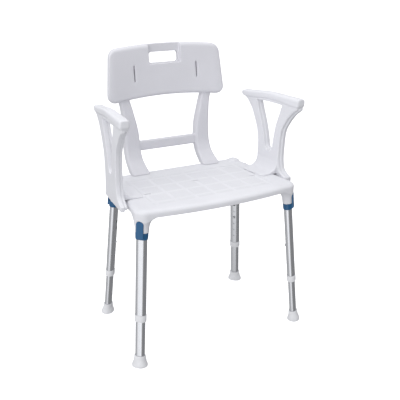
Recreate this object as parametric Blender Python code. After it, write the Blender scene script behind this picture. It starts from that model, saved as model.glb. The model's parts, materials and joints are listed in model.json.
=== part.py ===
"""Shower chair: a moulded seat on four height-adjustable oval aluminium legs, with a lift-off
backrest and two lift-off armrests.  +Z is up, the sitter faces -Y, lengths are in metres."""

import math

import bmesh
import bpy
from mathutils import Matrix, Vector

GAP = 0.0003  # between solids that touch
CENTRING = -0.02543  # brings the middle of the chair's depth to Y = 0

# Seat
SEAT_TOP = 0.489
SEAT_BOTTOM = 0.467
SEAT_WALL = 0.004
SEAT_FRONT_HALF_WIDTH = 0.270
SEAT_REAR_HALF_WIDTH = 0.2420
SEAT_FRONT_Y = -0.174
SEAT_REAR_Y = 0.166
SEAT_FRONT_BOW = 0.020
SEAT_CORNER_RADIUS = 0.034
SEAT_EDGE_ROLL = 0.016
RIB_PLACES = (-0.095, 0.095)
RIB_THICKNESS = 0.003
RIB_HALF_LENGTH = 0.245
MOUND_PLACE = (0.2155, 0.1330)

# Legs, measured along each leg's axis from the underside of its seat clip
LEG_LENGTH = 0.402
RING_HEIGHT = 0.400
FRONT_LEG = Vector((0.2528, -0.1490, RING_HEIGHT))
REAR_LEG = Vector((0.2275, 0.1355, RING_HEIGHT))
FRONT_SPLAY = Vector((0.0742, -0.0560))  # outward and forward run for each metre down
REAR_SPLAY = Vector((0.0731, 0.0929))
TUBE_STRAIGHT = 0.004  # half of the oval's straight side
OUTER_RADIUS = 0.0125
OUTER_WALL = 0.0015
INNER_RADIUS = 0.0107
INNER_WALL = 0.0014
TUBE_TOP = 0.075
TUBE_BOTTOM = -0.248
COLLAR_BOTTOM = -0.256
COLLAR_TOP = -0.235
HOLE_PITCH = 0.025
HOLE_COUNT = 7
BUTTON_HEIGHT = -0.129
HOLE_RADIUS = 0.0045
BUTTON_RADIUS = 0.0041
BUTTON_PROUD = 0.0042
FLANGE_RADIUS = 0.0052
FLANGE_THICKNESS = 0.0012
SPRING_LEAF = 0.0007
SPRING_BEND_RADIUS = 0.0045
SPRING_DROP = 0.034  # from the button down to the bend
SPRING_HALF_WIDTH = 0.0035
FOOT_HEIGHT = 0.034
CLIP_HEIGHT = 0.020
CLIP_STRAIGHT = 0.0045
TONGUE_TOP = 0.056
TONGUE_HALF_WIDTH = 0.0110
TONGUE_THICKNESS = 0.0034
TONGUE_CLEARANCE = 0.0005
SOCKET_RADIUS = 0.0152
SOCKET_STRAIGHT = 0.006

# Backrest
PANEL_HALF_WIDTH = 0.208
PANEL_BOTTOM = 0.712
PANEL_TOP = 0.880
PANEL_THICKNESS = 0.028
PANEL_FRONT_Y = 0.209  # front face at the middle of the panel
PANEL_DISH = 0.016  # how far the ends come forward
PANEL_LEAN = 0.10
UPRIGHT_INNER = 0.102
UPRIGHT_OUTER = 0.155
PANEL_END_RADIUS = 0.030
UPRIGHT_TOP = 0.76
UPRIGHT_CORNER = 0.008
CROSSBAR_BOTTOM = 0.549
CROSSBAR_TOP = 0.581
CROSSBAR_HALF_LENGTH = 0.118
CROSSBAR_FRONT = 0.199
CROSSBAR_REAR = 0.217
HAND_SLOT_HALF_WIDTH = 0.052
HAND_SLOT_BOTTOM = 0.829
HAND_SLOT_TOP = 0.864
HAND_RECESS_MARGIN = 0.004
HAND_RECESS_DEPTH = 0.011
SLIT_PLACE = 0.111
SLIT_HALF_WIDTH = 0.002
SLIT_BOTTOM = 0.776
SLIT_TOP = 0.828

# Armrests: X is measured outward from the inner face of the plate, which toes in towards the front
ARM_INNER = 0.262
ARM_TOE = math.radians(5.1)
ARM_THICKNESS = 0.0235
ARM_TOP = 0.746
ARM_BASE = 0.470
ARM_FRONT = -0.0655
ARM_REAR = 0.0530
ARM_STEP = 0.0040  # the inner layer of the plate is set in by this much
ARM_CHAMFER = 0.0018
ARM_FOOT_REACH = 0.062
PAD_FRONT = -0.146
PAD_REAR = 0.142
PAD_MIDDLE = 0.0125
PAD_HALF_WIDTH = 0.0155

# What plugs into the seat
PEG_PLACES = (-0.032, 0.030)
PEG_HALF_LENGTH = 0.008
PEG_NEAR = 0.030  # from the plate's inner face
PEG_FAR = 0.040
PEG_DEPTH = 0.022
TENON_HALF_WIDTH = 0.016
TENON_FRONT = 0.134
TENON_REAR = 0.150
TENON_DEPTH = 0.024
DRAIN_PLACES = ((0.0, 0.003), (-0.184, -0.040), (0.184, -0.040))
DRAIN_HALF_LENGTH = 0.012
DRAIN_HALF_WIDTH = 0.0025

WHITE = (0.80, 0.80, 0.83)
PANEL_WHITE = (0.72, 0.72, 0.75)
BLUE = (0.022, 0.130, 0.300)
RUBBER = (0.74, 0.74, 0.76)
ALUMINIUM = (0.78, 0.79, 0.81)
STEEL = (0.62, 0.63, 0.65)

for item in list(bpy.data.objects):
    bpy.data.objects.remove(item, do_unlink=True)

CHAIR = bpy.data.collections.new("shower_chair")
CUTTERS = bpy.data.collections.new("cutters")
bpy.context.scene.collection.children.link(CHAIR)
bpy.context.scene.collection.children.link(CUTTERS)


def make_material(name, colour, roughness, metallic):
    material = bpy.data.materials.new(name)
    material.use_nodes = True
    shader = material.node_tree.nodes["Principled BSDF"]
    shader.inputs["Base Color"].default_value = (*colour, 1.0)
    shader.inputs["Roughness"].default_value = roughness
    shader.inputs["Metallic"].default_value = metallic
    material.diffuse_color = (*colour, 1.0)
    return material


def add_object(name, mesh, collection, parent=None):
    item = bpy.data.objects.new(name, mesh)
    collection.objects.link(item)
    if parent:
        item.parent = parent
    return item


def finish(item, colour, roughness, metallic=0.0):
    """Gives a finished piece its own material and smooth shading."""
    item.data.materials.clear()
    item.data.materials.append(make_material(item.name, colour, roughness, metallic))
    item.data.shade_smooth()
    item.data.set_sharp_from_angle(angle=math.radians(35))


def cut_from(target, cutter, operation="DIFFERENCE"):
    """Adds an exact Boolean with a hidden cutter."""
    modifier = target.modifiers.new(cutter.name, "BOOLEAN")
    modifier.operation = operation
    modifier.object = cutter
    cutter.hide_render = True
    cutter.display_type = "WIRE"


def closed_mesh(name, rings):
    """A closed skin through rings of points, with a flat face at each end."""
    form = bmesh.new()
    rows = [[form.verts.new(point) for point in ring] for ring in rings]
    count = len(rows[0])
    for lower, upper in zip(rows, rows[1:]):
        for index in range(count):
            after = (index + 1) % count
            form.faces.new((lower[index], lower[after], upper[after], upper[index]))
    form.faces.new(rows[0][::-1])
    form.faces.new(rows[-1])
    bmesh.ops.recalc_face_normals(form, faces=form.faces)
    mesh = bpy.data.meshes.new(name)
    form.to_mesh(mesh)
    form.free()
    return mesh


def tube_mesh(name, rings):
    """A closed skin through rings of points whose last ring joins the first."""
    form = bmesh.new()
    rows = [[form.verts.new(point) for point in ring] for ring in rings]
    count = len(rows[0])
    for lower, upper in zip(rows, rows[1:] + rows[:1]):
        for index in range(count):
            after = (index + 1) % count
            form.faces.new((lower[index], lower[after], upper[after], upper[index]))
    bmesh.ops.recalc_face_normals(form, faces=form.faces)
    mesh = bpy.data.meshes.new(name)
    form.to_mesh(mesh)
    form.free()
    return mesh


def box_mesh(name, low, high, bevel=0.0):
    """A box between two corners, with its edges rounded by bevel."""
    form = bmesh.new()
    bmesh.ops.create_cube(form, size=1.0)
    low, high = Vector(low), Vector(high)
    for vertex in form.verts:
        vertex.co = Vector([low[i] + (vertex.co[i] + 0.5) * (high[i] - low[i]) for i in range(3)])
    if bevel:
        bmesh.ops.bevel(form, geom=form.edges[:], offset=bevel, segments=2, profile=0.5, affect="EDGES")
    mesh = bpy.data.meshes.new(name)
    form.to_mesh(mesh)
    form.free()
    return mesh


def rod_mesh(name, radius, start, end, segments=16):
    """A round rod from start to end."""
    start, end = Vector(start), Vector(end)
    along = end - start
    form = bmesh.new()
    length = along.length
    bmesh.ops.create_cone(
        form, cap_ends=True, segments=segments, radius1=radius, radius2=radius, depth=length
    )
    turn = along.to_track_quat("Z", "Y").to_matrix().to_4x4()
    bmesh.ops.transform(form, matrix=Matrix.Translation((start + end) / 2) @ turn, verts=form.verts)
    mesh = bpy.data.meshes.new(name)
    form.to_mesh(mesh)
    form.free()
    return mesh


def oval(radius, height, straight=TUBE_STRAIGHT, steps=8):
    """Points round an oval whose long side runs along Y, at one height."""
    points = []
    for centre, first in ((straight, 0.0), (-straight, math.pi)):
        for step in range(steps + 1):
            angle = first + math.pi * step / steps
            points.append((radius * math.cos(angle), centre + radius * math.sin(angle), height))
    return points


def oval_turned(name, profile, straight=TUBE_STRAIGHT, steps=8):
    """A ring swept round the oval: profile is a closed loop of radius and height."""
    return tube_mesh(name, [oval(radius, height, straight, steps) for radius, height in profile])


def oval_solid(name, profile, straight=TUBE_STRAIGHT, steps=8):
    """A solid stack of ovals: profile runs from the bottom to the top."""
    return closed_mesh(name, [oval(radius, height, straight, steps) for radius, height in profile])


def rounded_section(width_low, width_high, depth_low, depth_high, radius, steps=3):
    """Points round a rectangle with rounded corners, as pairs."""
    centres = (
        (width_high - radius, depth_high - radius, 0.0),
        (width_low + radius, depth_high - radius, 0.5),
        (width_low + radius, depth_low + radius, 1.0),
        (width_high - radius, depth_low + radius, 1.5),
    )
    points = []
    for across, along, first in centres:
        for step in range(steps + 1):
            angle = math.pi * (first + 0.5 * step / steps)
            points.append((across + radius * math.cos(angle), along + radius * math.sin(angle)))
    return points


def smooth(value):
    """Eases from 0 to 1."""
    value = min(max(value, 0.0), 1.0)
    return value * value * (3 - 2 * value)


def blend_list(value, stops):
    """Reads a smooth curve through (place, value) stops."""
    if value <= stops[0][0]:
        return stops[0][1]
    for (start, first), (end, second) in zip(stops, stops[1:]):
        if value <= end:
            return first + (second - first) * smooth((value - start) / (end - start))
    return stops[-1][1]


def smooth_loop(stops, inset=0.0):
    """Points along a closed smooth curve through (x, y, corner) stops, drawn in by inset.

    The curve turns sharply at a corner and runs straight between two corners."""
    count = len(stops)
    points = []
    for index, (across, along, corner) in enumerate(stops):
        before, after, beyond = (stops[(index + step) % count] for step in (-1, 1, 2))
        here, there = Vector((across, along)), Vector(after[:2])
        leave = there - here if corner else (there - Vector(before[:2])) / 2
        arrive = there - here if after[2] else (Vector(beyond[:2]) - here) / 2
        steps = 1 if corner and after[2] else 3
        for step in range(steps):
            t = step / steps
            a, b = 2 * t**3 - 3 * t**2 + 1, 3 * t**2 - 2 * t**3
            c, d = t**3 - 2 * t**2 + t, t**3 - t**2
            points.append(here * a + there * b + leave * c + arrive * d)
    drawn = []
    for index, point in enumerate(points):
        back = (point - points[index - 1]).normalized()
        ahead = (points[(index + 1) % len(points)] - point).normalized()
        inward = Vector((-back.y - ahead.y, back.x + ahead.x)).normalized()
        reach = 1.0 / max(0.5, inward.dot(Vector((-back.y, back.x))))
        drawn.append(point + inward * inset * reach)
    return drawn


# ---------------------------------------------------------------- legs


def leg_frame(name, side, top, splay):
    """An empty at the underside of the clip: Z runs up the leg, X points out past the seat corner."""
    up = Vector((-side * splay.x, -splay.y, 1.0)).normalized()
    corner = Vector((side, math.copysign(1.0, top.y), 0.0))
    out = (corner - up * corner.dot(up)).normalized()
    across = up.cross(out)
    frame = bpy.data.objects.new(name, None)
    frame.matrix_world = Matrix(
        (
            (out.x, across.x, up.x, side * top.x),
            (out.y, across.y, up.y, top.y),
            (out.z, across.z, up.z, top.z),
            (0.0, 0.0, 0.0, 1.0),
        )
    )
    CHAIR.objects.link(frame)
    return frame


def hole_heights():
    """Heights of the adjusting holes: the button sits in the middle one."""
    middle = (HOLE_COUNT - 1) / 2
    return [BUTTON_HEIGHT + (index - middle) * HOLE_PITCH for index in range(HOLE_COUNT)]


def make_leg_tube(tag, frame):
    """The outer tube, with seven adjusting holes in its inward face."""
    bore = OUTER_RADIUS - OUTER_WALL
    profile = ((OUTER_RADIUS, TUBE_BOTTOM), (OUTER_RADIUS, TUBE_TOP), (bore, TUBE_TOP), (bore, TUBE_BOTTOM))
    tube = add_object(f"leg_tube_{tag}", oval_turned("leg_tube", profile), CHAIR, frame)
    for number, height in enumerate(hole_heights()):
        start = (-OUTER_RADIUS - 0.004, 0.0, height)
        end = (-0.004, 0.0, height)
        drill_mesh = rod_mesh("adjusting_hole", HOLE_RADIUS, start, end, 12)
        cut_from(tube, add_object(f"adjusting_hole_{tag}_{number}", drill_mesh, CUTTERS, frame))
    finish(tube, ALUMINIUM, 0.28, 1.0)
    return tube


def make_leg_extension(tag, frame):
    """The inner tube, which slides in the outer one and carries the snap button."""
    bottom = -LEG_LENGTH + 0.0100
    top = BUTTON_HEIGHT + 0.030
    bore = INNER_RADIUS - INNER_WALL
    profile = ((INNER_RADIUS, bottom), (INNER_RADIUS, top), (bore, top), (bore, bottom))
    tube = add_object(f"leg_extension_{tag}", oval_turned("leg_extension", profile), CHAIR, frame)
    start = (-OUTER_RADIUS, 0.0, BUTTON_HEIGHT)
    drill_mesh = rod_mesh("button_hole", HOLE_RADIUS, start, (-0.004, 0.0, BUTTON_HEIGHT), 12)
    cut_from(tube, add_object(f"button_hole_{tag}", drill_mesh, CUTTERS, frame))
    finish(tube, ALUMINIUM, 0.25, 1.0)
    return tube


def make_collar(tag, frame):
    """The plastic bush on the outer tube's lower end, which guides the inner tube."""
    outside = OUTER_RADIUS + 0.0014
    seat = OUTER_RADIUS + GAP
    guide = INNER_RADIUS + GAP
    step = TUBE_BOTTOM - GAP
    profile = (
        (outside - 0.001, COLLAR_BOTTOM),
        (outside, COLLAR_BOTTOM + 0.001),
        (outside, COLLAR_TOP - 0.001),
        (outside - 0.0007, COLLAR_TOP),
        (seat, COLLAR_TOP),
        (seat, step),
        (guide, step),
        (guide, COLLAR_BOTTOM),
    )
    collar = add_object(f"leg_collar_{tag}", oval_turned("leg_collar", profile), CHAIR, frame)
    finish(collar, WHITE, 0.45)
    return collar


def make_foot(tag, frame, floor_box):
    """The flared rubber foot, cut level with the floor."""
    low = -LEG_LENGTH
    solid = (
        (0.0205, low - 0.008),
        (0.0200, low + 0.004),
        (0.0186, low + 0.009),
        (0.0163, low + 0.015),
        (0.0146, low + 0.023),
        (0.0138, low + FOOT_HEIGHT - 0.0015),
        (0.0128, low + FOOT_HEIGHT),
    )
    foot = add_object(f"foot_{tag}", oval_solid("foot", solid), CHAIR, frame)
    pocket = ((INNER_RADIUS + GAP, low + 0.0100 - GAP), (INNER_RADIUS + GAP, low + FOOT_HEIGHT + 0.01))
    cut_from(foot, add_object(f"foot_pocket_{tag}", oval_solid("foot_pocket", pocket), CUTTERS, frame))
    cut_from(foot, floor_box)
    finish(foot, RUBBER, 0.7)
    return foot


def make_clip(tag, frame):
    """The blue clip: a ring round the tube under the seat socket, with a tongue up its outer side."""
    bore = OUTER_RADIUS + GAP
    wide = SOCKET_RADIUS - 0.0002
    profile = (
        (OUTER_RADIUS + 0.0014, 0.0),
        (OUTER_RADIUS + 0.0020, 0.004),
        (wide - 0.0002, 0.012),
        (wide, CLIP_HEIGHT - 0.001),
        (wide - 0.0007, CLIP_HEIGHT),
        (bore, CLIP_HEIGHT),
        (bore, 0.0),
    )
    ring = oval_turned("leg_clip", profile, straight=CLIP_STRAIGHT)
    clip = add_object(f"leg_clip_{tag}", ring, CHAIR, frame)
    half_width = TONGUE_HALF_WIDTH
    inside = SOCKET_RADIUS + GAP
    outside = inside + TONGUE_THICKNESS
    outline = tongue_outline(half_width, 0.004, TONGUE_TOP)
    rings = [[(depth, across, height) for across, height in outline] for depth in (inside, outside)]
    tongue_mesh = closed_mesh("clip_tongue", rings)
    tongue = add_object(f"clip_tongue_{tag}", tongue_mesh, CUTTERS, frame)
    low = (wide - 0.002, -half_width + 0.0002, 0.0045)
    high = (inside + 0.001, half_width - 0.0002, 0.0165)
    link = add_object(f"clip_link_{tag}", box_mesh("clip_link", low, high), CUTTERS, frame)
    cut_from(clip, link, "UNION")
    cut_from(clip, tongue, "UNION")
    finish(clip, BLUE, 0.35)
    return clip


def make_button(tag, frame):
    """The domed snap button, with a flange that keeps it inside the inner tube."""
    wall_inside = INNER_RADIUS - INNER_WALL
    tip = OUTER_RADIUS + BUTTON_PROUD
    flange_face = -wall_inside + 2 * GAP
    profile = (
        (FLANGE_RADIUS, flange_face + FLANGE_THICKNESS),
        (FLANGE_RADIUS, flange_face),
        (BUTTON_RADIUS, flange_face),
        (BUTTON_RADIUS, -tip + 0.0022),
        (BUTTON_RADIUS * 0.75, -tip + 0.0006),
        (BUTTON_RADIUS * 0.3, -tip),
    )
    segments = 12
    rings = []
    for radius, depth in profile:
        turn = [2 * math.pi * step / segments for step in range(segments)]
        rings.append([(depth, radius * math.cos(a), BUTTON_HEIGHT + radius * math.sin(a)) for a in turn])
    button = add_object(f"snap_button_{tag}", closed_mesh("snap_button", rings), CHAIR, frame)
    finish(button, STEEL, 0.3, 1.0)
    return button


def make_spring(tag, frame):
    """The V-shaped leaf spring that pushes the button out; its bend is at the bottom."""
    wall_inside = INNER_RADIUS - INNER_WALL
    leaf = SPRING_LEAF
    back_of_button = -wall_inside + 2 * GAP + FLANGE_THICKNESS + GAP
    bend_radius = SPRING_BEND_RADIUS
    far_side = wall_inside - GAP
    centre = (back_of_button + far_side) / 2
    low = BUTTON_HEIGHT - SPRING_DROP
    outer, inner = [], []
    outer.append((back_of_button, BUTTON_HEIGHT + 0.004))
    inner.append((back_of_button + leaf, BUTTON_HEIGHT + 0.004))
    outer.append((back_of_button, BUTTON_HEIGHT - 0.006))
    inner.append((back_of_button + leaf, BUTTON_HEIGHT - 0.006))
    for step in range(7):
        angle = math.pi * (1 + step / 6)
        outer.append((centre + bend_radius * math.cos(angle), low + bend_radius * math.sin(angle)))
        inner.append(
            (centre + (bend_radius - leaf) * math.cos(angle), low + (bend_radius - leaf) * math.sin(angle))
        )
    outer.append((far_side, BUTTON_HEIGHT - 0.004))
    inner.append((far_side - leaf, BUTTON_HEIGHT - 0.004))
    outline = outer + inner[::-1]
    sides = (-SPRING_HALF_WIDTH, SPRING_HALF_WIDTH)
    rings = [[(across, depth, height) for across, height in outline] for depth in sides]
    spring = add_object(f"button_spring_{tag}", closed_mesh("button_spring", rings), CHAIR, frame)
    finish(spring, STEEL, 0.35, 1.0)
    return spring


# ---------------------------------------------------------------- seat


def seat_outline(inset, height):
    """Points round the seat: a trapezium with round corners and a bowed front edge."""
    radius = SEAT_CORNER_RADIUS - inset
    front_y = SEAT_FRONT_Y + inset
    rear_y = SEAT_REAR_Y - inset
    corners = (
        (SEAT_FRONT_HALF_WIDTH - inset, front_y, -0.5),
        (SEAT_REAR_HALF_WIDTH - inset, rear_y, 0.0),
        (-SEAT_REAR_HALF_WIDTH + inset, rear_y, 0.5),
        (-SEAT_FRONT_HALF_WIDTH + inset, front_y, 1.0),
    )
    points = []
    corner_steps = 6
    for across, along, first in corners:
        centre_x = across - math.copysign(radius, across)
        centre_y = along - math.copysign(radius, along)
        for step in range(corner_steps + 1):
            angle = math.pi * (first + 0.5 * step / corner_steps)
            points.append([centre_x + radius * math.cos(angle), centre_y + radius * math.sin(angle)])
    bow_steps = 9
    start = points[-1][0]
    for step in range(1, bow_steps):
        points.append([start - 2 * start * step / bow_steps, front_y])
    half = SEAT_FRONT_HALF_WIDTH - SEAT_CORNER_RADIUS
    for point in points:
        if point[1] < 0:
            forward = smooth(-point[1] / (-front_y))
            point[1] -= SEAT_FRONT_BOW * forward * max(0.0, 1 - (point[0] / half) ** 2)
    return [(x, y, height) for x, y in points]


def rolled_rings(bottom, inset):
    """Rings up the seat's outside, from its skirt over the rolled edge, all set in by inset."""
    roll = SEAT_EDGE_ROLL
    shoulder = SEAT_TOP - 0.75 * roll
    rings = [seat_outline(inset, bottom), seat_outline(inset, shoulder - inset)]
    steps = 4
    for step in range(1, steps + 1):
        angle = math.pi / 2 * step / steps
        height = shoulder + 0.75 * roll * math.sin(angle) - inset
        rings.append(seat_outline(inset + roll * (1 - math.cos(angle)), height))
    return rings


def make_socket(number, frame, seat, prism):
    """A leg socket: a horn-shaped boss that grows into the underside of the seat."""
    mouth = CLIP_HEIGHT + GAP
    profile = (
        (0.0, mouth),
        (0.0003, mouth + 0.012),
        (0.0018, mouth + 0.022),
        (0.0055, mouth + 0.032),
        (0.0120, mouth + 0.040),
        (0.0220, mouth + 0.047),
    )
    rings = [oval(SOCKET_RADIUS + grow, height, SOCKET_STRAIGHT, 9) for grow, height in profile]
    world = [[frame.matrix_world @ Vector(point) for point in ring] for ring in rings]
    top_ring = [Vector((point.x, point.y, SEAT_TOP - 0.0020)) for point in world[-1]]
    horn = add_object(f"socket_horn_{number}", closed_mesh("socket_horn", world + [top_ring]), CUTTERS)
    cut_from(horn, prism, "INTERSECT")
    cut_from(seat, horn, "UNION")


def bore_socket(number, frame, seat):
    """The oval bore that takes the leg tube."""
    radius = OUTER_RADIUS + GAP
    profile = ((radius, 0.0), (radius, TUBE_TOP + GAP))
    bore = add_object(f"socket_bore_{number}", oval_solid("socket_bore", profile), CUTTERS, frame)
    cut_from(seat, bore)


def tongue_outline(half_width, bottom, top):
    """The clip tongue seen from outside: straight sides and a round top."""
    crown = half_width * 0.8
    arc_steps = 8
    outline = []
    for step in range(arc_steps + 1):
        angle = math.pi * step / arc_steps
        outline.append((half_width * math.cos(angle), top - crown + crown * math.sin(angle)))
    outline.append((-half_width, bottom))
    outline.append((half_width, bottom))
    return outline


def cut_tongue_recess(number, frame, seat):
    """The shallow recess up the outer side of a socket, where the clip's tongue lies."""
    outline = tongue_outline(TONGUE_HALF_WIDTH + TONGUE_CLEARANCE, 0.002, TONGUE_TOP + TONGUE_CLEARANCE)
    depths = (SOCKET_RADIUS - 0.0002, SOCKET_RADIUS + 0.030)
    rings = [[(depth, across, height) for across, height in outline] for depth in depths]
    recess = add_object(f"tongue_recess_{number}", closed_mesh("tongue_recess", rings), CUTTERS, frame)
    cut_from(seat, recess)


def seat_box(seat, name, low, high, operation, frame=None):
    """Adds or cuts a box, in the seat's own frame or an armrest's."""
    cut_from(seat, add_object(name, box_mesh(name, low, high), CUTTERS, frame), operation)


def make_mound(number, side):
    """The low mound over a rear leg's socket."""
    profile = ((0.0240, -0.0030), (0.0210, 0.0015), (0.0150, 0.0055), (0.0080, 0.0085), (0.0030, 0.0095))
    segments = 16
    rings = []
    for radius, above in profile:
        turns = [2 * math.pi * step / segments for step in range(segments)]
        ring = []
        for turn in turns:
            across = side * MOUND_PLACE[0] + radius * math.cos(turn)
            ring.append((across, MOUND_PLACE[1] + radius * math.sin(turn), SEAT_TOP + above))
        rings.append(ring)
    return add_object(f"corner_mound_{number}", closed_mesh("corner_mound", rings), CUTTERS)


def make_seat(frames, arm_frames):
    """The seat moulding: rolled top, open underneath, with ribs, sockets, slots and drain holes."""
    seat = add_object("seat", closed_mesh("seat", rolled_rings(SEAT_BOTTOM, 0.0)), CHAIR)
    under = [seat_outline(SEAT_WALL, SEAT_BOTTOM - 0.02), seat_outline(SEAT_WALL, SEAT_TOP - 0.014)]
    under.append(seat_outline(SEAT_WALL + 0.009, SEAT_TOP - SEAT_WALL))
    cut_from(seat, add_object("seat_hollow", closed_mesh("seat_hollow", under), CUTTERS))
    rib_low = SEAT_BOTTOM + 0.004
    for number, along in enumerate(RIB_PLACES):
        low = (-RIB_HALF_LENGTH, along - RIB_THICKNESS / 2, rib_low)
        high = (RIB_HALF_LENGTH, along + RIB_THICKNESS / 2, SEAT_TOP - 0.002)
        seat_box(seat, f"rib_{number}", low, high, "UNION")
    prism = add_object("seat_prism", closed_mesh("seat_prism", rolled_rings(0.38, 0.0004)), CUTTERS)
    prism.hide_render = True
    prism.display_type = "WIRE"
    for number, frame in enumerate(frames):
        make_socket(number, frame, seat, prism)
    for number, side in enumerate((-1, 1)):
        cut_from(seat, make_mound(number, side), "UNION")
    for number, frame in enumerate(frames):
        bore_socket(number, frame, seat)
        cut_tongue_recess(number, frame, seat)
    for side, frame in zip((-1, 1), arm_frames):
        for number, along in enumerate(PEG_PLACES):
            near, far = -side * (PEG_NEAR - GAP), -side * (PEG_FAR + GAP)
            low = (min(near, far), along - PEG_HALF_LENGTH - GAP, SEAT_TOP - 0.02)
            high = (max(near, far), along + PEG_HALF_LENGTH + GAP, SEAT_TOP + 0.01)
            seat_box(seat, f"peg_slot_{side}_{number}", low, high, "DIFFERENCE", frame)
        tenon_x = side * (UPRIGHT_INNER + UPRIGHT_OUTER) / 2
        low = (tenon_x - TENON_HALF_WIDTH - GAP, TENON_FRONT - GAP, SEAT_TOP - 0.02)
        high = (tenon_x + TENON_HALF_WIDTH + GAP, TENON_REAR + GAP, SEAT_TOP + 0.01)
        seat_box(seat, f"tenon_slot_{side}", low, high, "DIFFERENCE")
    for number, (across, along) in enumerate(DRAIN_PLACES):
        low = (across - DRAIN_HALF_LENGTH, along - DRAIN_HALF_WIDTH, SEAT_TOP - 0.02)
        high = (across + DRAIN_HALF_LENGTH, along + DRAIN_HALF_WIDTH, SEAT_TOP + 0.01)
        seat_box(seat, f"drain_{number}", low, high, "DIFFERENCE")
    finish(seat, WHITE, 0.42)
    return seat


# ---------------------------------------------------------------- backrest


def panel_front(across):
    """Depth of the panel's front face, at the panel's foot."""
    return PANEL_FRONT_Y - PANEL_DISH * (across / PANEL_HALF_WIDTH) ** 2


def make_panel(backrest):
    """The dished back panel: rounded sections from one end to the other."""
    stations = 22
    rings = []
    middle = (PANEL_TOP + PANEL_BOTTOM) / 2
    for index in range(stations + 1):
        spread = -math.cos(math.pi * index / stations)
        share = 0.55 * spread + 0.45 * (2 * index / stations - 1)
        across = PANEL_HALF_WIDTH * share
        from_end = PANEL_HALF_WIDTH - abs(across)
        corner = max(0.0, 1 - from_end / PANEL_END_RADIUS)
        drop = PANEL_END_RADIUS * (1 - math.sqrt(max(0.0, 1 - corner**2)))
        top = PANEL_TOP + 0.011 * (1 - share**2) - drop * 0.95
        bottom = PANEL_BOTTOM + 0.014 * (1 - share**2) + drop * 0.95
        thin = PANEL_THICKNESS * (0.30 + 0.70 * math.sqrt(max(0.0, 1 - corner**2)))
        front = panel_front(across) + (PANEL_THICKNESS - thin) * 0.35
        radius = thin * 0.42
        ring = []
        for depth, height in rounded_section(front, front + thin, bottom, top, radius, 3):
            lean = PANEL_LEAN * (height - middle)
            slim = 0.012 * abs(share) ** 3 * (height - bottom) / (top - bottom)
            ring.append((across - math.copysign(slim, across), depth + lean, height))
        rings.append(ring)
    panel = add_object("back_panel_form", closed_mesh("back_panel_form", rings), CUTTERS)
    cut_from(backrest, panel, "UNION")


def make_upright(backrest, side):
    """An upright: it stands behind the panel and curves forward on to the seat."""
    foot = SEAT_TOP + GAP
    front_stops = (
        (foot, 0.126),
        (0.498, 0.137),
        (0.512, 0.160),
        (0.532, 0.181),
        (0.565, 0.193),
        (0.66, 0.1985),
        (0.74, 0.204),
    )
    rear_stops = (
        (foot, 0.170),
        (0.498, 0.181),
        (0.512, 0.200),
        (0.532, 0.216),
        (0.565, 0.228),
        (0.66, 0.231),
        (0.74, 0.231),
    )
    inner_stops = ((foot, 0.099), (0.52, 0.1015), (0.60, 0.1045), (0.68, 0.120), (0.74, 0.137))
    outer_stops = ((foot, 0.160), (0.52, 0.1565), (0.60, 0.1540), (0.68, 0.158), (0.74, 0.170))
    curved = (foot, 0.492, 0.498, 0.505, 0.512, 0.522, 0.532, 0.548, 0.565)
    straight = (0.60, 0.64, 0.68, 0.72, UPRIGHT_TOP)
    rings = []
    for height in curved + straight:
        front = blend_list(height, front_stops)
        rear = blend_list(height, rear_stops)
        inner = blend_list(height, inner_stops)
        outer = blend_list(height, outer_stops)
        section = rounded_section(inner, outer, front, rear, UPRIGHT_CORNER, 2)
        rings.append([(side * across, depth, height) for across, depth in section])
    name = f"upright_form_{side}"
    upright = add_object(name, closed_mesh(name, rings), CUTTERS)
    cut_from(backrest, upright, "UNION")
    tenon_x = side * (UPRIGHT_INNER + UPRIGHT_OUTER) / 2
    low = (tenon_x - TENON_HALF_WIDTH, TENON_FRONT, SEAT_TOP - TENON_DEPTH)
    high = (tenon_x + TENON_HALF_WIDTH, TENON_REAR, SEAT_TOP + 0.006)
    tenon = add_object(f"tenon_form_{side}", box_mesh(f"tenon_form_{side}", low, high), CUTTERS)
    cut_from(backrest, tenon, "UNION")


def make_backrest():
    """The backrest moulding: crossbar, two uprights and the dished panel with its hand slot."""
    low = (-CROSSBAR_HALF_LENGTH, CROSSBAR_FRONT, CROSSBAR_BOTTOM)
    high = (CROSSBAR_HALF_LENGTH, CROSSBAR_REAR, CROSSBAR_TOP)
    backrest = add_object("backrest", box_mesh("backrest", low, high, 0.004), CHAIR)
    for side in (-1, 1):
        make_upright(backrest, side)
    make_panel(backrest)
    before, behind = 0.17, 0.27
    low = (-HAND_SLOT_HALF_WIDTH, before, HAND_SLOT_BOTTOM)
    high = (HAND_SLOT_HALF_WIDTH, behind, HAND_SLOT_TOP)
    cut_from(backrest, add_object("hand_slot", box_mesh("hand_slot", low, high, 0.010), CUTTERS))
    recess_half = HAND_SLOT_HALF_WIDTH + HAND_RECESS_MARGIN
    recess_floor = PANEL_FRONT_Y + PANEL_LEAN * 0.07 + HAND_RECESS_DEPTH
    low = (-recess_half, before - 0.02, HAND_SLOT_BOTTOM - 0.001)
    high = (recess_half, recess_floor, PANEL_TOP + 0.05)
    cut_from(backrest, add_object("hand_recess", box_mesh("hand_recess", low, high, 0.004), CUTTERS))
    for side in (-1, 1):
        low = (side * SLIT_PLACE - SLIT_HALF_WIDTH, before, SLIT_BOTTOM)
        high = (side * SLIT_PLACE + SLIT_HALF_WIDTH, behind, SLIT_TOP)
        slit = box_mesh("slit", low, high, 0.0015)
        cut_from(backrest, add_object(f"slit_{side}", slit, CUTTERS))
    finish(backrest, PANEL_WHITE, 0.42)
    return backrest


# ---------------------------------------------------------------- armrests


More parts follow.
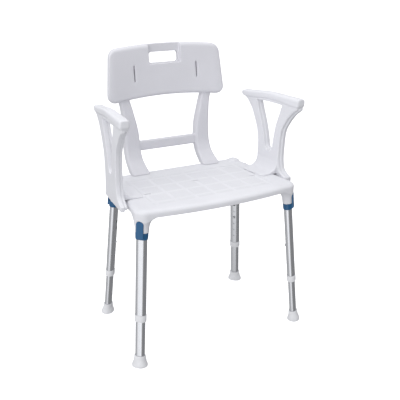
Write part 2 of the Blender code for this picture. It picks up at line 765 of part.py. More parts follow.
def arm_frame(tag, side):
    """An empty on the inner face of an armrest's plate, turned to follow its toe-in."""
    frame = bpy.data.objects.new(f"armrest_frame_{tag}", None)
    frame.location = (side * ARM_INNER, 0.0, 0.0)
    frame.rotation_euler.z = side * ARM_TOE
    CHAIR.objects.link(frame)
    return frame


def arm_plate_loops():
    """The Y-shaped plate seen from the side, and its three-sided opening."""
    outline = (
        (-0.104, ARM_BASE, True),
        (0.064, ARM_BASE, True),
        (0.0600, 0.4900, True),
        (0.0545, 0.515, False),
        (ARM_REAR - 0.0010, 0.560, False),
        (0.0580, 0.612, False),
        (0.0840, 0.668, False),
        (0.1080, 0.6970, False),
        (0.1380, 0.7190, True),
        (0.1200, 0.7290, True),
        (-0.1420, 0.7290, True),
        (-0.1420, 0.7095, True),
        (-0.1180, 0.6920, False),
        (-0.0920, 0.662, False),
        (-0.0720, 0.625, False),
        (ARM_FRONT, 0.560, False),
        (ARM_FRONT - 0.0010, 0.525, False),
        (-0.0760, 0.501, False),
        (-0.1040, 0.4840, True),
    )
    opening = (
        (0.050, 0.702, False),
        (0.042, 0.711, False),
        (-0.054, 0.7125, False),
        (-0.061, 0.704, False),
        (-0.040, 0.648, False),
        (-0.0275, 0.590, False),
        (-0.0245, 0.568, False),
        (-0.010, 0.558, False),
        (0.0065, 0.568, False),
        (0.013, 0.600, False),
        (0.027, 0.645, False),
    )
    return outline, opening


def make_arm_pad(side):
    """The pad: a rounded bar a little wider than the plate, that dips towards the back."""
    stations = 12
    rings = []
    for index in range(stations + 1):
        along = PAD_FRONT + (PAD_REAR - PAD_FRONT) * (0.5 - 0.5 * math.cos(math.pi * index / stations))
        nose = min((along - PAD_FRONT) / 0.010, 1.0)
        tail = min((PAD_REAR - along) / 0.030, 1.0)
        full = min(math.sqrt(1 - (1 - nose) ** 2), math.sqrt(1 - (1 - tail) ** 2))
        top = ARM_TOP - 0.012 * smooth((along + 0.02) / 0.16) - 0.004 * (1 - full)
        thick = (0.030 - 0.008 * smooth((along + 0.13) / 0.12)) * (0.45 + 0.55 * full)
        half_width = PAD_HALF_WIDTH * (0.62 + 0.38 * full)
        radius = min(thick / 2, half_width) * 0.62
        section = rounded_section(
            PAD_MIDDLE - half_width, PAD_MIDDLE + half_width, top - thick, top, radius, 3
        )
        rings.append([(side * across, along, height) for across, height in section])
    return closed_mesh("arm_pad", rings)


def make_arm_foot(side):
    """The foot: it sweeps inward from the plate and lies flat on the seat."""
    stops = (
        (GAP, ARM_FOOT_REACH),
        (0.0030, ARM_FOOT_REACH - 0.003),
        (0.0048, 0.040),
        (0.0100, 0.019),
        (0.0220, 0.006),
        (0.0420, -0.001),
    )
    rings = []
    for above, reach in stops:
        radius = 0.004 + 0.12 * max(reach, 0.0)
        section = rounded_section(-reach, 0.012, ARM_FRONT + 0.0055, ARM_REAR - 0.0055, radius, 3)
        rings.append([(side * across, along, SEAT_TOP + above) for across, along in section])
    return closed_mesh("arm_foot", rings)


def arm_layers(name, side, loop, layers):
    """A solid whose outline is drawn in by a different amount at each depth."""
    rings = []
    for depth, inset in layers:
        rings.append([(side * depth, point.x, point.y) for point in smooth_loop(loop, inset)])
    return closed_mesh(name, rings)


def make_armrest(tag, side, frame):
    """An armrest: a Y-shaped plate with a pad on top and a foot that laps on to the seat."""
    outline, opening = arm_plate_loops()
    chamfer = ARM_CHAMFER
    step = ARM_THICKNESS * 0.45
    layers = (
        (0.0, ARM_STEP + 2 * chamfer),
        (chamfer, ARM_STEP + chamfer / 2),
        (2 * chamfer, ARM_STEP),
        (step, ARM_STEP),
        (step, chamfer),
        (step + chamfer, 0.0),
        (ARM_THICKNESS - chamfer, 0.0),
        (ARM_THICKNESS, chamfer),
    )
    hole_layers = (
        (-0.002, -ARM_STEP * 0.6 - chamfer),
        (chamfer, -ARM_STEP * 0.6),
        (step, -ARM_STEP * 0.6),
        (step, 0.0),
        (ARM_THICKNESS - chamfer, 0.0),
        (ARM_THICKNESS + 0.002, -chamfer),
    )
    plate = arm_layers("arm_plate", side, outline, layers)
    arm = add_object(f"armrest_{tag}", plate, CHAIR, frame)
    hole_mesh = arm_layers("arm_opening", side, opening, hole_layers)
    cut_from(arm, add_object(f"arm_opening_{tag}", hole_mesh, CUTTERS, frame))
    forms = {"arm_pad": make_arm_pad(side), "arm_foot": make_arm_foot(side)}
    for number, along in enumerate(PEG_PLACES):
        near, far = -side * PEG_NEAR, -side * PEG_FAR
        low = (min(near, far), along - PEG_HALF_LENGTH, SEAT_TOP - PEG_DEPTH)
        high = (max(near, far), along + PEG_HALF_LENGTH, SEAT_TOP + 0.0025)
        forms[f"arm_peg_{number}"] = box_mesh("arm_peg", low, high)
    for name, mesh in forms.items():
        cut_from(arm, add_object(f"{name}_{tag}", mesh, CUTTERS, frame), "UNION")
    finish(arm, WHITE, 0.42)
    return arm


# ---------------------------------------------------------------- the chair


def make_chair():
    legs = (
        ("front_left", -1, FRONT_LEG, FRONT_SPLAY),
        ("front_right", 1, FRONT_LEG, FRONT_SPLAY),
        ("rear_left", -1, REAR_LEG, REAR_SPLAY),
        ("rear_right", 1, REAR_LEG, REAR_SPLAY),
    )
    floor_box = add_object("floor_box", box_mesh("floor_box", (-0.5, -0.5, -0.1), (0.5, 0.5, 0.0)), CUTTERS)
    frames = []
    for tag, side, top, splay in legs:
        frame = leg_frame(f"leg_frame_{tag}", side, top, splay)
        frames.append(frame)
        make_leg_tube(tag, frame)
        make_leg_extension(tag, frame)
        make_collar(tag, frame)
        make_foot(tag, frame, floor_box)
        make_clip(tag, frame)
        make_button(tag, frame)
        make_spring(tag, frame)
    arm_frames = [arm_frame("left", -1), arm_frame("right", 1)]
    bpy.context.view_layer.update()
    make_seat(frames, arm_frames)
    make_backrest()
    make_armrest("left", -1, arm_frames[0])
    make_armrest("right", 1, arm_frames[1])
    for item in list(CHAIR.objects) + list(CUTTERS.objects):
        if not item.parent:
            item.location.y += CENTRING


make_chair()
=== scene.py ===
import json
import math

import bmesh
import bpy
import numpy as np
from mathutils import Matrix, Vector

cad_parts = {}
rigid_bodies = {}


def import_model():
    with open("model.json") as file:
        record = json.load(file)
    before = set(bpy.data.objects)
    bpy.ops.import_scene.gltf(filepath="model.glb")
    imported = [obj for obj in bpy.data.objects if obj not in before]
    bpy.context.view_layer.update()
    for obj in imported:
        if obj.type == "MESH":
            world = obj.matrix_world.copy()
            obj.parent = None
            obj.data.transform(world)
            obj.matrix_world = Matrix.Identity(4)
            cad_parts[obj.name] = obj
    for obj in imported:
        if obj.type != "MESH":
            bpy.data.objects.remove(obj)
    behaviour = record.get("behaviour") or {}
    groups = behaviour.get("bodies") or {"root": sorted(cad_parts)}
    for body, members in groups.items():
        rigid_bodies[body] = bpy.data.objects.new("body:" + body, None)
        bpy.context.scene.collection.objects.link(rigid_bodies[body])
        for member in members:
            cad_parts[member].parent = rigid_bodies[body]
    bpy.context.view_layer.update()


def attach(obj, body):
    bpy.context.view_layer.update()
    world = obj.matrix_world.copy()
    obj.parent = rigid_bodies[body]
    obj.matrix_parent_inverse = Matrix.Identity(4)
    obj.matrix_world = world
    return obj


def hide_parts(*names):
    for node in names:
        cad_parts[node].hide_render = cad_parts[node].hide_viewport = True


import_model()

CENTRING = Vector((0.0, -0.02543, 0.0))  # from the frame the shapes are drawn in to the CAD frame
COARSE = 1.0

# Seat
SEAT_TOP = 0.489
SEAT_BOTTOM = 0.467
SEAT_WALL = 0.004
SEAT_FRONT_HALF_WIDTH = 0.270
SEAT_REAR_HALF_WIDTH = 0.2420
SEAT_FRONT_Y = -0.174
SEAT_REAR_Y = 0.166
SEAT_FRONT_BOW = 0.020
SEAT_CORNER_RADIUS = 0.034
SEAT_EDGE_ROLL = 0.016
RIB_PLACES = (-0.095, 0.095)
RIB_THICKNESS = 0.003
RIB_HALF_LENGTH = 0.245
MOUND_PLACE = (0.2155, 0.1330)
SLOT_BELOW = 0.02
SLOT_ABOVE = 0.01
DRAIN_HALF_LENGTH = 0.012
DRAIN_HALF_WIDTH = 0.0025
DRAIN_CORNER = 0.0024
DRAIN_PLACES = ((0.0, 0.003), (-0.184, -0.040), (0.184, -0.040))
SQUARE_PITCH = 0.0640
SQUARE_BAND = 0.0105
SQUARE_DEPTH = 0.0010
SQUARE_SLOPE = 0.0034
SQUARE_LINE_Y = 0.014
SQUARES_HALF_WIDTH = 0.205
SQUARES_FRONT = -0.138
SQUARES_REAR = 0.098

# Legs
LEG_LENGTH = 0.402
RING_HEIGHT = 0.400
FRONT_LEG = Vector((0.2528, -0.1490, RING_HEIGHT))
REAR_LEG = Vector((0.2275, 0.1355, RING_HEIGHT))
FRONT_SPLAY = Vector((0.0742, -0.0560))
REAR_SPLAY = Vector((0.0731, 0.0929))
TUBE_STRAIGHT = 0.004
OUTER_RADIUS = 0.0125
OUTER_WALL = 0.0015
INNER_RADIUS = 0.0107
INNER_WALL = 0.0014
TUBE_TOP = 0.075
TUBE_BOTTOM = -0.248
COLLAR_BOTTOM = -0.256
COLLAR_TOP = -0.235
HOLE_PITCH = 0.025
HOLE_COUNT = 7
BUTTON_HEIGHT = -0.129
HOLE_RADIUS = 0.0045
BUTTON_RADIUS = 0.0041
BUTTON_PROUD = 0.0042
FLANGE_RADIUS = 0.0052
FLANGE_THICKNESS = 0.0012
FOOT_HEIGHT = 0.034
CLIP_HEIGHT = 0.020
TONGUE_TOP = 0.056
TONGUE_HALF_WIDTH = 0.0110
TONGUE_THICKNESS = 0.0034
TONGUE_CLEARANCE = 0.0005
SOCKET_RADIUS = 0.0152
SOCKET_STRAIGHT = 0.006
CLIP_STRAIGHT = 0.0045
COLLAR_WALL = 0.0014
SOLE_THICKNESS = 0.0100
EXTENSION_ABOVE_BUTTON = 0.030
DRILL_END = 0.004
DIVISION = 0.004
TREAD_RADII = (0.0085, 0.0140)
TREAD_WIDTH = 0.0016
TREAD_HALF_HEIGHT = 0.02
TREAD_LEVEL = -0.0188
SPRING_LEAF = 0.0007
SPRING_BEND = 0.0045
SPRING_DROP = 0.034
SPRING_HALF_WIDTH = 0.0035
GAP = 0.0003

# Backrest
PANEL_HALF_WIDTH = 0.208
PANEL_BOTTOM = 0.712
PANEL_TOP = 0.880
PANEL_THICKNESS = 0.028
PANEL_FRONT_Y = 0.209
PANEL_DISH = 0.016
PANEL_LEAN = 0.10
PANEL_END_RADIUS = 0.030
UPRIGHT_BASE = 0.4893
UPRIGHT_RISE = 0.2707
UPRIGHT_INNER = 0.102
UPRIGHT_OUTER = 0.155
SLIT_PLACE = 0.111
SLIT_MIDDLE = 0.802
SLIT_HALF_WIDTH = 0.002
SLIT_BOTTOM = 0.776
SLIT_TOP = 0.828
DIP_HALF_WIDTH = 0.009
DIP_HALF_HEIGHT = 0.033
DIP_DEPTH = 0.0014
CROSSBAR_BOTTOM = 0.549
CROSSBAR_TOP = 0.581
CROSSBAR_HALF_LENGTH = 0.118
CROSSBAR_FRONT = 0.199
CROSSBAR_REAR = 0.217
HAND_SLOT_BOTTOM = 0.829
HAND_SLOT_TOP = 0.864
HAND_SLOT_HALF_WIDTH = 0.052
HAND_RECESS_HALF_WIDTH = 0.056
CUT_FRONT = 0.17
CUT_REAR = 0.27

# Armrests
ARM_INNER = 0.262
ARM_TOE = math.radians(5.1)
ARM_THICKNESS = 0.0235
ARM_TOP = 0.746
ARM_BASE = 0.470
ARM_FRONT = -0.0655
ARM_REAR = 0.0530
ARM_STEP = 0.0040
ARM_CHAMFER = 0.0018
ARM_FOOT_REACH = 0.062
PAD_FRONT = -0.146
PAD_REAR = 0.142
PAD_MIDDLE = 0.0125
PAD_HALF_WIDTH = 0.0155

# What plugs into the seat
PEG_PLACES = (-0.032, 0.030)
PEG_HALF_LENGTH = 0.008
PEG_NEAR = 0.030
PEG_FAR = 0.040
PEG_DEPTH = 0.022
TENON_HALF_WIDTH = 0.016
TENON_FRONT = 0.134
TENON_REAR = 0.150
TENON_DEPTH = 0.024

# Linear colours
WHITE = (0.775, 0.775, 0.810)
# The backrest's white is the seat's white with painted shade: the same plastic drawn darker, as its upright
# faces take less light than the seat's top
PAINTED_SHADE_WHITE = (0.700, 0.695, 0.735)
COLLAR_WHITE = (0.80, 0.80, 0.82)
BLUE = (0.006, 0.092, 0.225)
RUBBER = (0.80, 0.80, 0.82)
ALUMINIUM = (0.66, 0.665, 0.685)
STEEL = (0.50, 0.51, 0.53)
FLOOR_DARK = (0.90, 0.90, 0.905)
FLOOR_LIGHT = (0.92, 0.92, 0.925)
SKY_TINT = (0.97, 0.98, 1.0, 1.0)

# Light, floor and camera
DARKEST = 0.31
SKY = 0.50
CARD_LEFT = 0.30
CARD_BRIGHT = 0.75
CARD_WAY = (-0.74, -0.67, 0.0)
KEY_POWER = 13.0
TOP_POWER = 13.0
FILL_POWER = 2.0
LIGHT_TARGET = (0.0, 0.0, 0.45)
FLOOR_GLOW = 0.60
FLOOR_REACH = 8.0
FLOOR_CURVE = 6.0
WALL_HEIGHT = 12.0
CAMERA_PLACE = (-0.8847, -1.70963, 1.1410)
CAMERA_PITCH = 20.674
CAMERA_YAW = 28.093
CAMERA_LENS = 57.24

# Sizes of the voxel skins
SEAT_VOXEL = 0.0014
BACK_VOXEL = 0.0013
ARM_VOXEL = 0.0011
FOOT_VOXEL = 0.0006
CLIP_VOXEL = 0.00045

WORKSHOP = bpy.data.collections.new("workshop")
bpy.context.scene.collection.children.link(WORKSHOP)


# ---------- materials


def new_material(name):
    material = bpy.data.materials.new(name)
    material.use_nodes = True
    tree = material.node_tree
    return material, tree, tree.nodes["Principled BSDF"]


def place_nodes(tree, scale=(1.0, 1.0, 1.0), turn=None):
    """Object coordinates, turned to follow a leg where turn is given, and scaled."""
    vector = tree.nodes.new("ShaderNodeTexCoord").outputs["Object"]
    if turn:
        turned = tree.nodes.new("ShaderNodeMapping")
        turned.inputs["Rotation"].default_value = turn
        tree.links.new(vector, turned.inputs["Vector"])
        vector = turned.outputs["Vector"]
    mapping = tree.nodes.new("ShaderNodeMapping")
    mapping.inputs["Scale"].default_value = scale
    tree.links.new(vector, mapping.inputs["Vector"])
    return mapping.outputs["Vector"]


def noise_node(tree, vector, scale, detail=3.0):
    noise = tree.nodes.new("ShaderNodeTexNoise")
    noise.inputs["Scale"].default_value = scale
    noise.inputs["Detail"].default_value = detail
    tree.links.new(vector, noise.inputs["Vector"])
    return noise.outputs["Fac"]


def ranged(tree, value, low, high, source=(0.3, 0.7), curve="LINEAR"):
    """Spreads a value, by default a noise of 0.3 to 0.7, over low to high."""
    spread = tree.nodes.new("ShaderNodeMapRange")
    spread.interpolation_type = curve
    spread.inputs["From Min"].default_value, spread.inputs["From Max"].default_value = source
    spread.inputs["To Min"].default_value = low
    spread.inputs["To Max"].default_value = high
    tree.links.new(value, spread.inputs["Value"])
    return spread.outputs["Result"]


def calculated(tree, operation, first, second):
    """A math node over two sockets, or over a socket and a number."""
    node = tree.nodes.new("ShaderNodeMath")
    node.operation = operation
    for source, target in zip((first, second), node.inputs):
        if isinstance(source, float):
            target.default_value = source
        else:
            tree.links.new(source, target)
    return node.outputs["Value"]


def tinted(tree, value, first, second):
    """Blends two colours by a 0 to 1 value."""
    mix = tree.nodes.new("ShaderNodeMix")
    mix.data_type = "RGBA"
    mix.inputs["A"].default_value = (*first, 1.0)
    mix.inputs["B"].default_value = (*second, 1.0)
    tree.links.new(value, mix.inputs["Factor"])
    return mix.outputs["Result"]


def bumped(tree, shader, value, strength, distance, below=None):
    bump = tree.nodes.new("ShaderNodeBump")
    bump.inputs["Strength"].default_value = strength
    bump.inputs["Distance"].default_value = distance
    tree.links.new(value, bump.inputs["Height"])
    if below:
        tree.links.new(below, bump.inputs["Normal"])
    tree.links.new(bump.outputs["Normal"], shader.inputs["Normal"])
    return bump.outputs["Normal"]


def shade(colour, factor):
    return tuple(min(1.0, channel * factor) for channel in colour)


def clouded(tree, shader, noise, colour, dark, light):
    """Colours the shader between two shades of one colour."""
    value = ranged(tree, noise, 0.0, 1.0)
    mixed = tinted(tree, value, shade(colour, dark), shade(colour, light))
    tree.links.new(mixed, shader.inputs["Base Color"])


def moulded_plastic(name, colour, rough, grain=0.10, coat=0.0):
    """Injection-moulded plastic: spark-eroded grain, faint flow mottling and handling sheen."""
    material, tree, shader = new_material(name)
    whole = place_nodes(tree)
    broad = noise_node(tree, whole, 9.0, 4.0)
    middle = noise_node(tree, whole, 70.0, 5.0)
    fine = noise_node(tree, whole, 1500.0, 2.0)
    clouded(tree, shader, broad, colour, 0.975, 1.02)
    tree.links.new(ranged(tree, middle, rough - 0.05, rough + 0.06), shader.inputs["Roughness"])
    waves = bumped(tree, shader, middle, 0.06, 0.0006)
    bumped(tree, shader, fine, grain, 0.0003, waves)
    shader.inputs["IOR"].default_value = 1.49
    shader.inputs["Coat Weight"].default_value = coat
    shader.inputs["Coat Roughness"].default_value = 0.18
    return material


def grained_squares(material, colour):
    """The sunk squares of the seat's top: a coarser anti-slip grain, a little duller."""
    tree = material.node_tree
    shader = tree.nodes["Principled BSDF"]
    mask = tree.nodes.new("ShaderNodeAttribute")
    mask.attribute_name = "sunk"
    plain = shader.inputs["Base Color"].links[0].from_socket
    mix = tree.nodes.new("ShaderNodeMix")
    mix.data_type = "RGBA"
    mix.inputs["B"].default_value = (*shade(colour, 0.95), 1.0)
    tree.links.new(mask.outputs["Fac"], mix.inputs["Factor"])
    tree.links.new(plain, mix.inputs["A"])
    tree.links.new(mix.outputs["Result"], shader.inputs["Base Color"])
    grain = noise_node(tree, place_nodes(tree), 620.0, 2.0)
    masked = calculated(tree, "MULTIPLY", grain, mask.outputs["Fac"])
    below = shader.inputs["Normal"].links[0].from_socket
    bumped(tree, shader, masked, 0.35, 0.0006, below)


def rubber(name, colour):
    """Moulded rubber: matt, a little dusty and pitted."""
    material, tree, shader = new_material(name)
    whole = place_nodes(tree)
    broad = noise_node(tree, whole, 45.0, 5.0)
    fine = noise_node(tree, whole, 900.0, 3.0)
    clouded(tree, shader, broad, colour, 0.90, 1.03)
    tree.links.new(ranged(tree, broad, 0.60, 0.80), shader.inputs["Roughness"])
    bumped(tree, shader, fine, 0.22, 0.0005)
    shader.inputs["IOR"].default_value = 1.52
    return material


def drawn_metal(name, colour, rough, turn, streak=0.004):
    """Drawn tube or rolled strip: fine lines along its length under an anodised skin."""
    material, tree, shader = new_material(name)
    lengthwise = place_nodes(tree, (500.0, 500.0, 3.0), turn)
    whole = place_nodes(tree, turn=turn)
    lines = noise_node(tree, lengthwise, 1.0, 3.0)
    cloud = noise_node(tree, whole, 38.0, 4.0)
    clouded(tree, shader, cloud, colour, 0.98, 1.015)
    tree.links.new(ranged(tree, lines, rough - 0.03, rough + 0.04), shader.inputs["Roughness"])
    bumped(tree, shader, lines, streak, 0.0002)
    shader.inputs["Metallic"].default_value = 1.0
    return material


# ---------- mesh tools


def mesh_of(form):
    """Ends a bmesh and returns its mesh."""
    mesh = bpy.data.meshes.new("form")
    form.to_mesh(mesh)
    form.free()
    return mesh


def add_form(mesh, matrix=None):
    """A working object; matrix carries its own frame into the drawing frame."""
    item = bpy.data.objects.new("form", mesh)
    WORKSHOP.objects.link(item)
    if matrix:
        item.matrix_world = matrix
    return item


def combine(target, cutter, operation="DIFFERENCE"):
    modifier = target.modifiers.new(cutter.name, "BOOLEAN")
    modifier.operation = operation
    modifier.solver = "MANIFOLD"
    modifier.object = cutter


def fused(target, voxel, rounds):
    """Skins the form as one moulding and softens its edges into fillets."""
    remesh = target.modifiers.new("skin", "REMESH")
    remesh.mode = "VOXEL"
    remesh.voxel_size = voxel * COARSE
    remesh.use_smooth_shade = True
    soften = target.modifiers.new("soften", "SMOOTH")
    soften.factor = 0.5
    soften.iterations = rounds


def piece_from(form, name, body, nodes, material, change=None, angle=None):
    """Applies the form's modifiers and hands the result over as a piece in the CAD frame."""
    bpy.context.view_layer.update()
    graph = bpy.context.evaluated_depsgraph_get()
    mesh = bpy.data.meshes.new_from_object(form.evaluated_get(graph))
    mesh.name = name
    mesh.transform(Matrix.Translation(CENTRING) @ form.matrix_world)
    if change:
        change(mesh)
    mesh.materials.clear()
    mesh.materials.append(material)
    mesh.shade_smooth()
    if angle:
        mesh.set_sharp_from_angle(angle=math.radians(angle))
    piece = bpy.data.objects.new(name, mesh)
    bpy.context.scene.collection.objects.link(piece)
    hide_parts(*nodes)
    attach(piece, body)
    return piece


def skin_mesh(rings, ends=True):
    """A closed skin through rings of points, capped at both ends or joined last to first."""
    form = bmesh.new()
    rows = [[form.verts.new(point) for point in ring] for ring in rings]
    count = len(rows[0])
    following = rows[1:] if ends else rows[1:] + rows[:1]
    for lower, upper in zip(rows, following):
        for index in range(count):
            after = (index + 1) % count
            form.faces.new((lower[index], lower[after], upper[after], upper[index]))
    if ends:
        form.faces.new(rows[0][::-1])
        form.faces.new(rows[-1])
    bmesh.ops.recalc_face_normals(form, faces=form.faces)
    return mesh_of(form)


def box_mesh(low, high, bevel=0.0, segments=4):
    form = bmesh.new()
    bmesh.ops.create_cube(form, size=1.0)
    low, high = Vector(low), Vector(high)
    for vertex in form.verts:
        vertex.co = Vector([low[i] + (vertex.co[i] + 0.5) * (high[i] - low[i]) for i in range(3)])
    if bevel:
        bmesh.ops.bevel(
            form, geom=form.edges[:], offset=bevel, segments=segments, profile=0.5, affect="EDGES"
        )
    return mesh_of(form)


def rod_mesh(radius, start, end):
    start, end = Vector(start), Vector(end)
    along = end - start
    form = bmesh.new()
    bmesh.ops.create_cone(
        form, cap_ends=True, segments=32, radius1=radius, radius2=radius, depth=along.length
    )
    turn = along.to_track_quat("Z", "Y").to_matrix().to_4x4()
    bmesh.ops.transform(form, matrix=Matrix.Translation((start + end) / 2) @ turn, verts=form.verts)
    return mesh_of(form)


def oval(radius, height, straight=TUBE_STRAIGHT, steps=24):
    """Points round an oval whose long side runs along Y, at one height."""
    points = []
    for centre, first in ((straight, 0.0), (-straight, math.pi)):
        for step in range(steps + 1):
            angle = first + math.pi * step / steps
            points.append((radius * math.cos(angle), centre + radius * math.sin(angle), height))
        for step in range(1, 3):
            side = math.copysign(1.0, centre)
            points.append((-side * radius, centre - 2 * centre * step / 3, height))
    return points


def lengthened(profile, pitch):
    """A closed profile of radius and height with its long sides divided."""
    points = []
    for index, (radius, height) in enumerate(profile):
        after = profile[(index + 1) % len(profile)]
        steps = max(1, round(abs(after[1] - height) / pitch))
        for step in range(steps):
            share = step / steps
            points.append((radius + (after[0] - radius) * share, height + (after[1] - height) * share))
    return points


def ringed(profile, straight=TUBE_STRAIGHT, ends=False):
    """An oval ring whose wall has the closed profile of radius and height."""
    return skin_mesh([oval(radius, height, straight) for radius, height in profile], ends)


def stacked(profile):
    """A solid of ovals, one above the other."""
    return ringed(profile, ends=True)


def rounded_section(width_low, width_high, depth_low, depth_high, radius, steps=8):
    centres = (
        (width_high - radius, depth_high - radius, 0.0),
        (width_low + radius, depth_high - radius, 0.5),
        (width_low + radius, depth_low + radius, 1.0),
        (width_high - radius, depth_low + radius, 1.5),
    )
    points = []
    for across, along, first in centres:
        for step in range(steps + 1):
            angle = math.pi * (first + 0.5 * step / steps)
            points.append((across + radius * math.cos(angle), along + radius * math.sin(angle)))
    return points


def smooth(value):
    value = min(max(value, 0.0), 1.0)
    return value * value * (3 - 2 * value)


def hermite(t):
    """The weights of a cubic's two ends and of its two end slopes."""
    return 2 * t**3 - 3 * t**2 + 1, 3 * t**2 - 2 * t**3, t**3 - 2 * t**2 + t, t**3 - t**2


def curve_value(value, stops):
    """Reads a smooth monotone curve through (place, value) stops."""
    if value <= stops[0][0]:
        return stops[0][1]
    if value >= stops[-1][0]:
        return stops[-1][1]
    slopes = []
    for index in range(len(stops)):
        if index in (0, len(stops) - 1):
            near = stops[0:2] if index == 0 else stops[-2:]
            slopes.append((near[1][1] - near[0][1]) / (near[1][0] - near[0][0]))
            continue
        before = (stops[index][1] - stops[index - 1][1]) / (stops[index][0] - stops[index - 1][0])
        after = (stops[index + 1][1] - stops[index][1]) / (stops[index + 1][0] - stops[index][0])
        slopes.append(2 * before * after / (before + after) if before * after > 0 else 0.0)
    for index in range(len(stops) - 1):
        (start, first), (end, second) = stops[index], stops[index + 1]
        if value <= end:
            width = end - start
            a, b, c, d = hermite((value - start) / width)
            return first * a + second * b + slopes[index] * (c * width) + slopes[index + 1] * (d * width)
    return stops[-1][1]


def curve_through(stops, divisions):
    """Points along a closed smooth curve through (x, y, corner) stops, each with its corner flag.

    The curve turns sharply at a corner and runs straight between two corners."""
    count = len(stops)
    points = []
    for index, (across, along, corner) in enumerate(stops):
        before, after, beyond = (stops[(index + step) % count] for step in (-1, 1, 2))
        here, there = Vector((across, along)), Vector(after[:2])
        leave = there - here if corner else (there - Vector(before[:2])) / 2
        arrive = there - here if after[2] else (Vector(beyond[:2]) - here) / 2
        steps = 1 if corner and after[2] else divisions
        for step in range(steps):
            a, b, c, d = hermite(step / steps)
            point = here * a + there * b + leave * c + arrive * d
            points.append((point.x, point.y, corner and step == 0))
    return points


def smooth_loop(stops, inset=0.0):
    """A finely divided smooth curve through the stops, drawn in by inset before it is divided."""
    points = curve_through(stops, 3)
    drawn = []
    for index, (across, along, corner) in enumerate(points):
        point = Vector((across, along))
        back = (point - Vector(points[index - 1][:2])).normalized()
        ahead = (Vector(points[(index + 1) % len(points)][:2]) - point).normalized()
        inward = Vector((-back.y - ahead.y, back.x + ahead.x)).normalized()
        reach = 1.0 / max(0.5, inward.dot(Vector((-back.y, back.x))))
        point = point + inward * inset * reach
        drawn.append((point.x, point.y, corner))
    return [Vector(point[:2]) for point in curve_through(drawn, 4)]


# ---------- legs


def leg_matrix(side, top, splay):
    """Z runs up the leg and X points out past the seat corner."""
    up = Vector((-side * splay.x, -splay.y, 1.0)).normalized()
    corner = Vector((side, math.copysign(1.0, top.y), 0.0))
    out = (corner - up * corner.dot(up)).normalized()
    across = up.cross(out)
    return Matrix(
        (
            (out.x, across.x, up.x, side * top.x),
            (out.y, across.y, up.y, top.y),
            (out.z, across.z, up.z, top.z),
            (0.0, 0.0, 0.0, 1.0),
        )
    )


def hole_heights():
    middle = (HOLE_COUNT - 1) / 2
    return [BUTTON_HEIGHT + (index - middle) * HOLE_PITCH for index in range(HOLE_COUNT)]


def end_chamfered(radius, bore, low, high, chamfer=0.0003):
    return (
        (radius - chamfer, low),
        (radius, low + chamfer),
        (radius, high - chamfer),
        (radius - chamfer, high),
        (bore + chamfer, high),
        (bore, high - chamfer),
        (bore, low + chamfer),
        (bore + chamfer, low),
    )


def make_leg_tube(tag, place, metal):
    bore = OUTER_RADIUS - OUTER_WALL
    profile = lengthened(end_chamfered(OUTER_RADIUS, bore, TUBE_BOTTOM, TUBE_TOP), DIVISION)
    tube = add_form(ringed(profile), place)
    drills = bmesh.new()
    for height in hole_heights():
        start, end = (-OUTER_RADIUS - DRILL_END, 0, height), (-DRILL_END, 0, height)
        drills.from_mesh(rod_mesh(HOLE_RADIUS, start, end))
    combine(tube, add_form(mesh_of(drills), place))
    nodes = [f"leg_tube_{tag}"]
    piece_from(tube, f"outer_tube_{tag}", "seat_frame", nodes, metal, angle=35)


def make_leg_extension(tag, place, metal):
    bottom = -LEG_LENGTH + SOLE_THICKNESS
    top = BUTTON_HEIGHT + EXTENSION_ABOVE_BUTTON
    profile = lengthened(end_chamfered(INNER_RADIUS, INNER_RADIUS - INNER_WALL, bottom, top), DIVISION)
    tube = add_form(ringed(profile), place)
    drill = rod_mesh(HOLE_RADIUS, (-OUTER_RADIUS, 0, BUTTON_HEIGHT), (-DRILL_END, 0, BUTTON_HEIGHT))
    combine(tube, add_form(drill, place))
    name = f"inner_tube_{tag}"
    body = f"lower_leg_{tag}"
    piece_from(tube, name, body, [f"leg_extension_{tag}"], metal, angle=35)


def rounded_profile(profile, radii, steps=4):
    """A closed profile with each corner turned through an arc of its own radius."""
    points = []
    count = len(profile)
    for index, (corner, radius) in enumerate(zip(profile, radii)):
        here = Vector(corner)
        before, after = Vector(profile[index - 1]), Vector(profile[(index + 1) % count])
        back, ahead = (before - here).normalized(), (after - here).normalized()
        half = back.angle(ahead) / 2
        if radius <= 0 or half > math.radians(88):
            points.append(tuple(here))
            continue
        reach = radius / math.tan(half)
        start, end = here + back * reach, here + ahead * reach
        for step in range(steps + 1):
            t = step / steps
            points.append(tuple(start * (1 - t) ** 2 + here * 2 * t * (1 - t) + end * t**2))
    return points


def make_collar(tag, place, plastic):
    outside = OUTER_RADIUS + COLLAR_WALL
    seat = OUTER_RADIUS + GAP
    guide = INNER_RADIUS + GAP
    step = TUBE_BOTTOM - GAP
    profile = (
        (outside, COLLAR_BOTTOM),
        (outside, COLLAR_TOP),
        (seat, COLLAR_TOP),
        (seat, step),
        (guide, step),
        (guide, COLLAR_BOTTOM),
    )
    shape = rounded_profile(profile, (0.0011, 0.0007, 0.0002, 0.0, 0.0003, 0.0005))
    collar = add_form(ringed(shape), place)
    nodes = [f"leg_collar_{tag}"]
    piece_from(collar, f"guide_collar_{tag}", "seat_frame", nodes, plastic, angle=50)


def level_sole(mesh):
    """Lifts what the skin leaves below the floor up to it."""
    for vertex in mesh.vertices:
        vertex.co.z = max(vertex.co.z, 0.0)


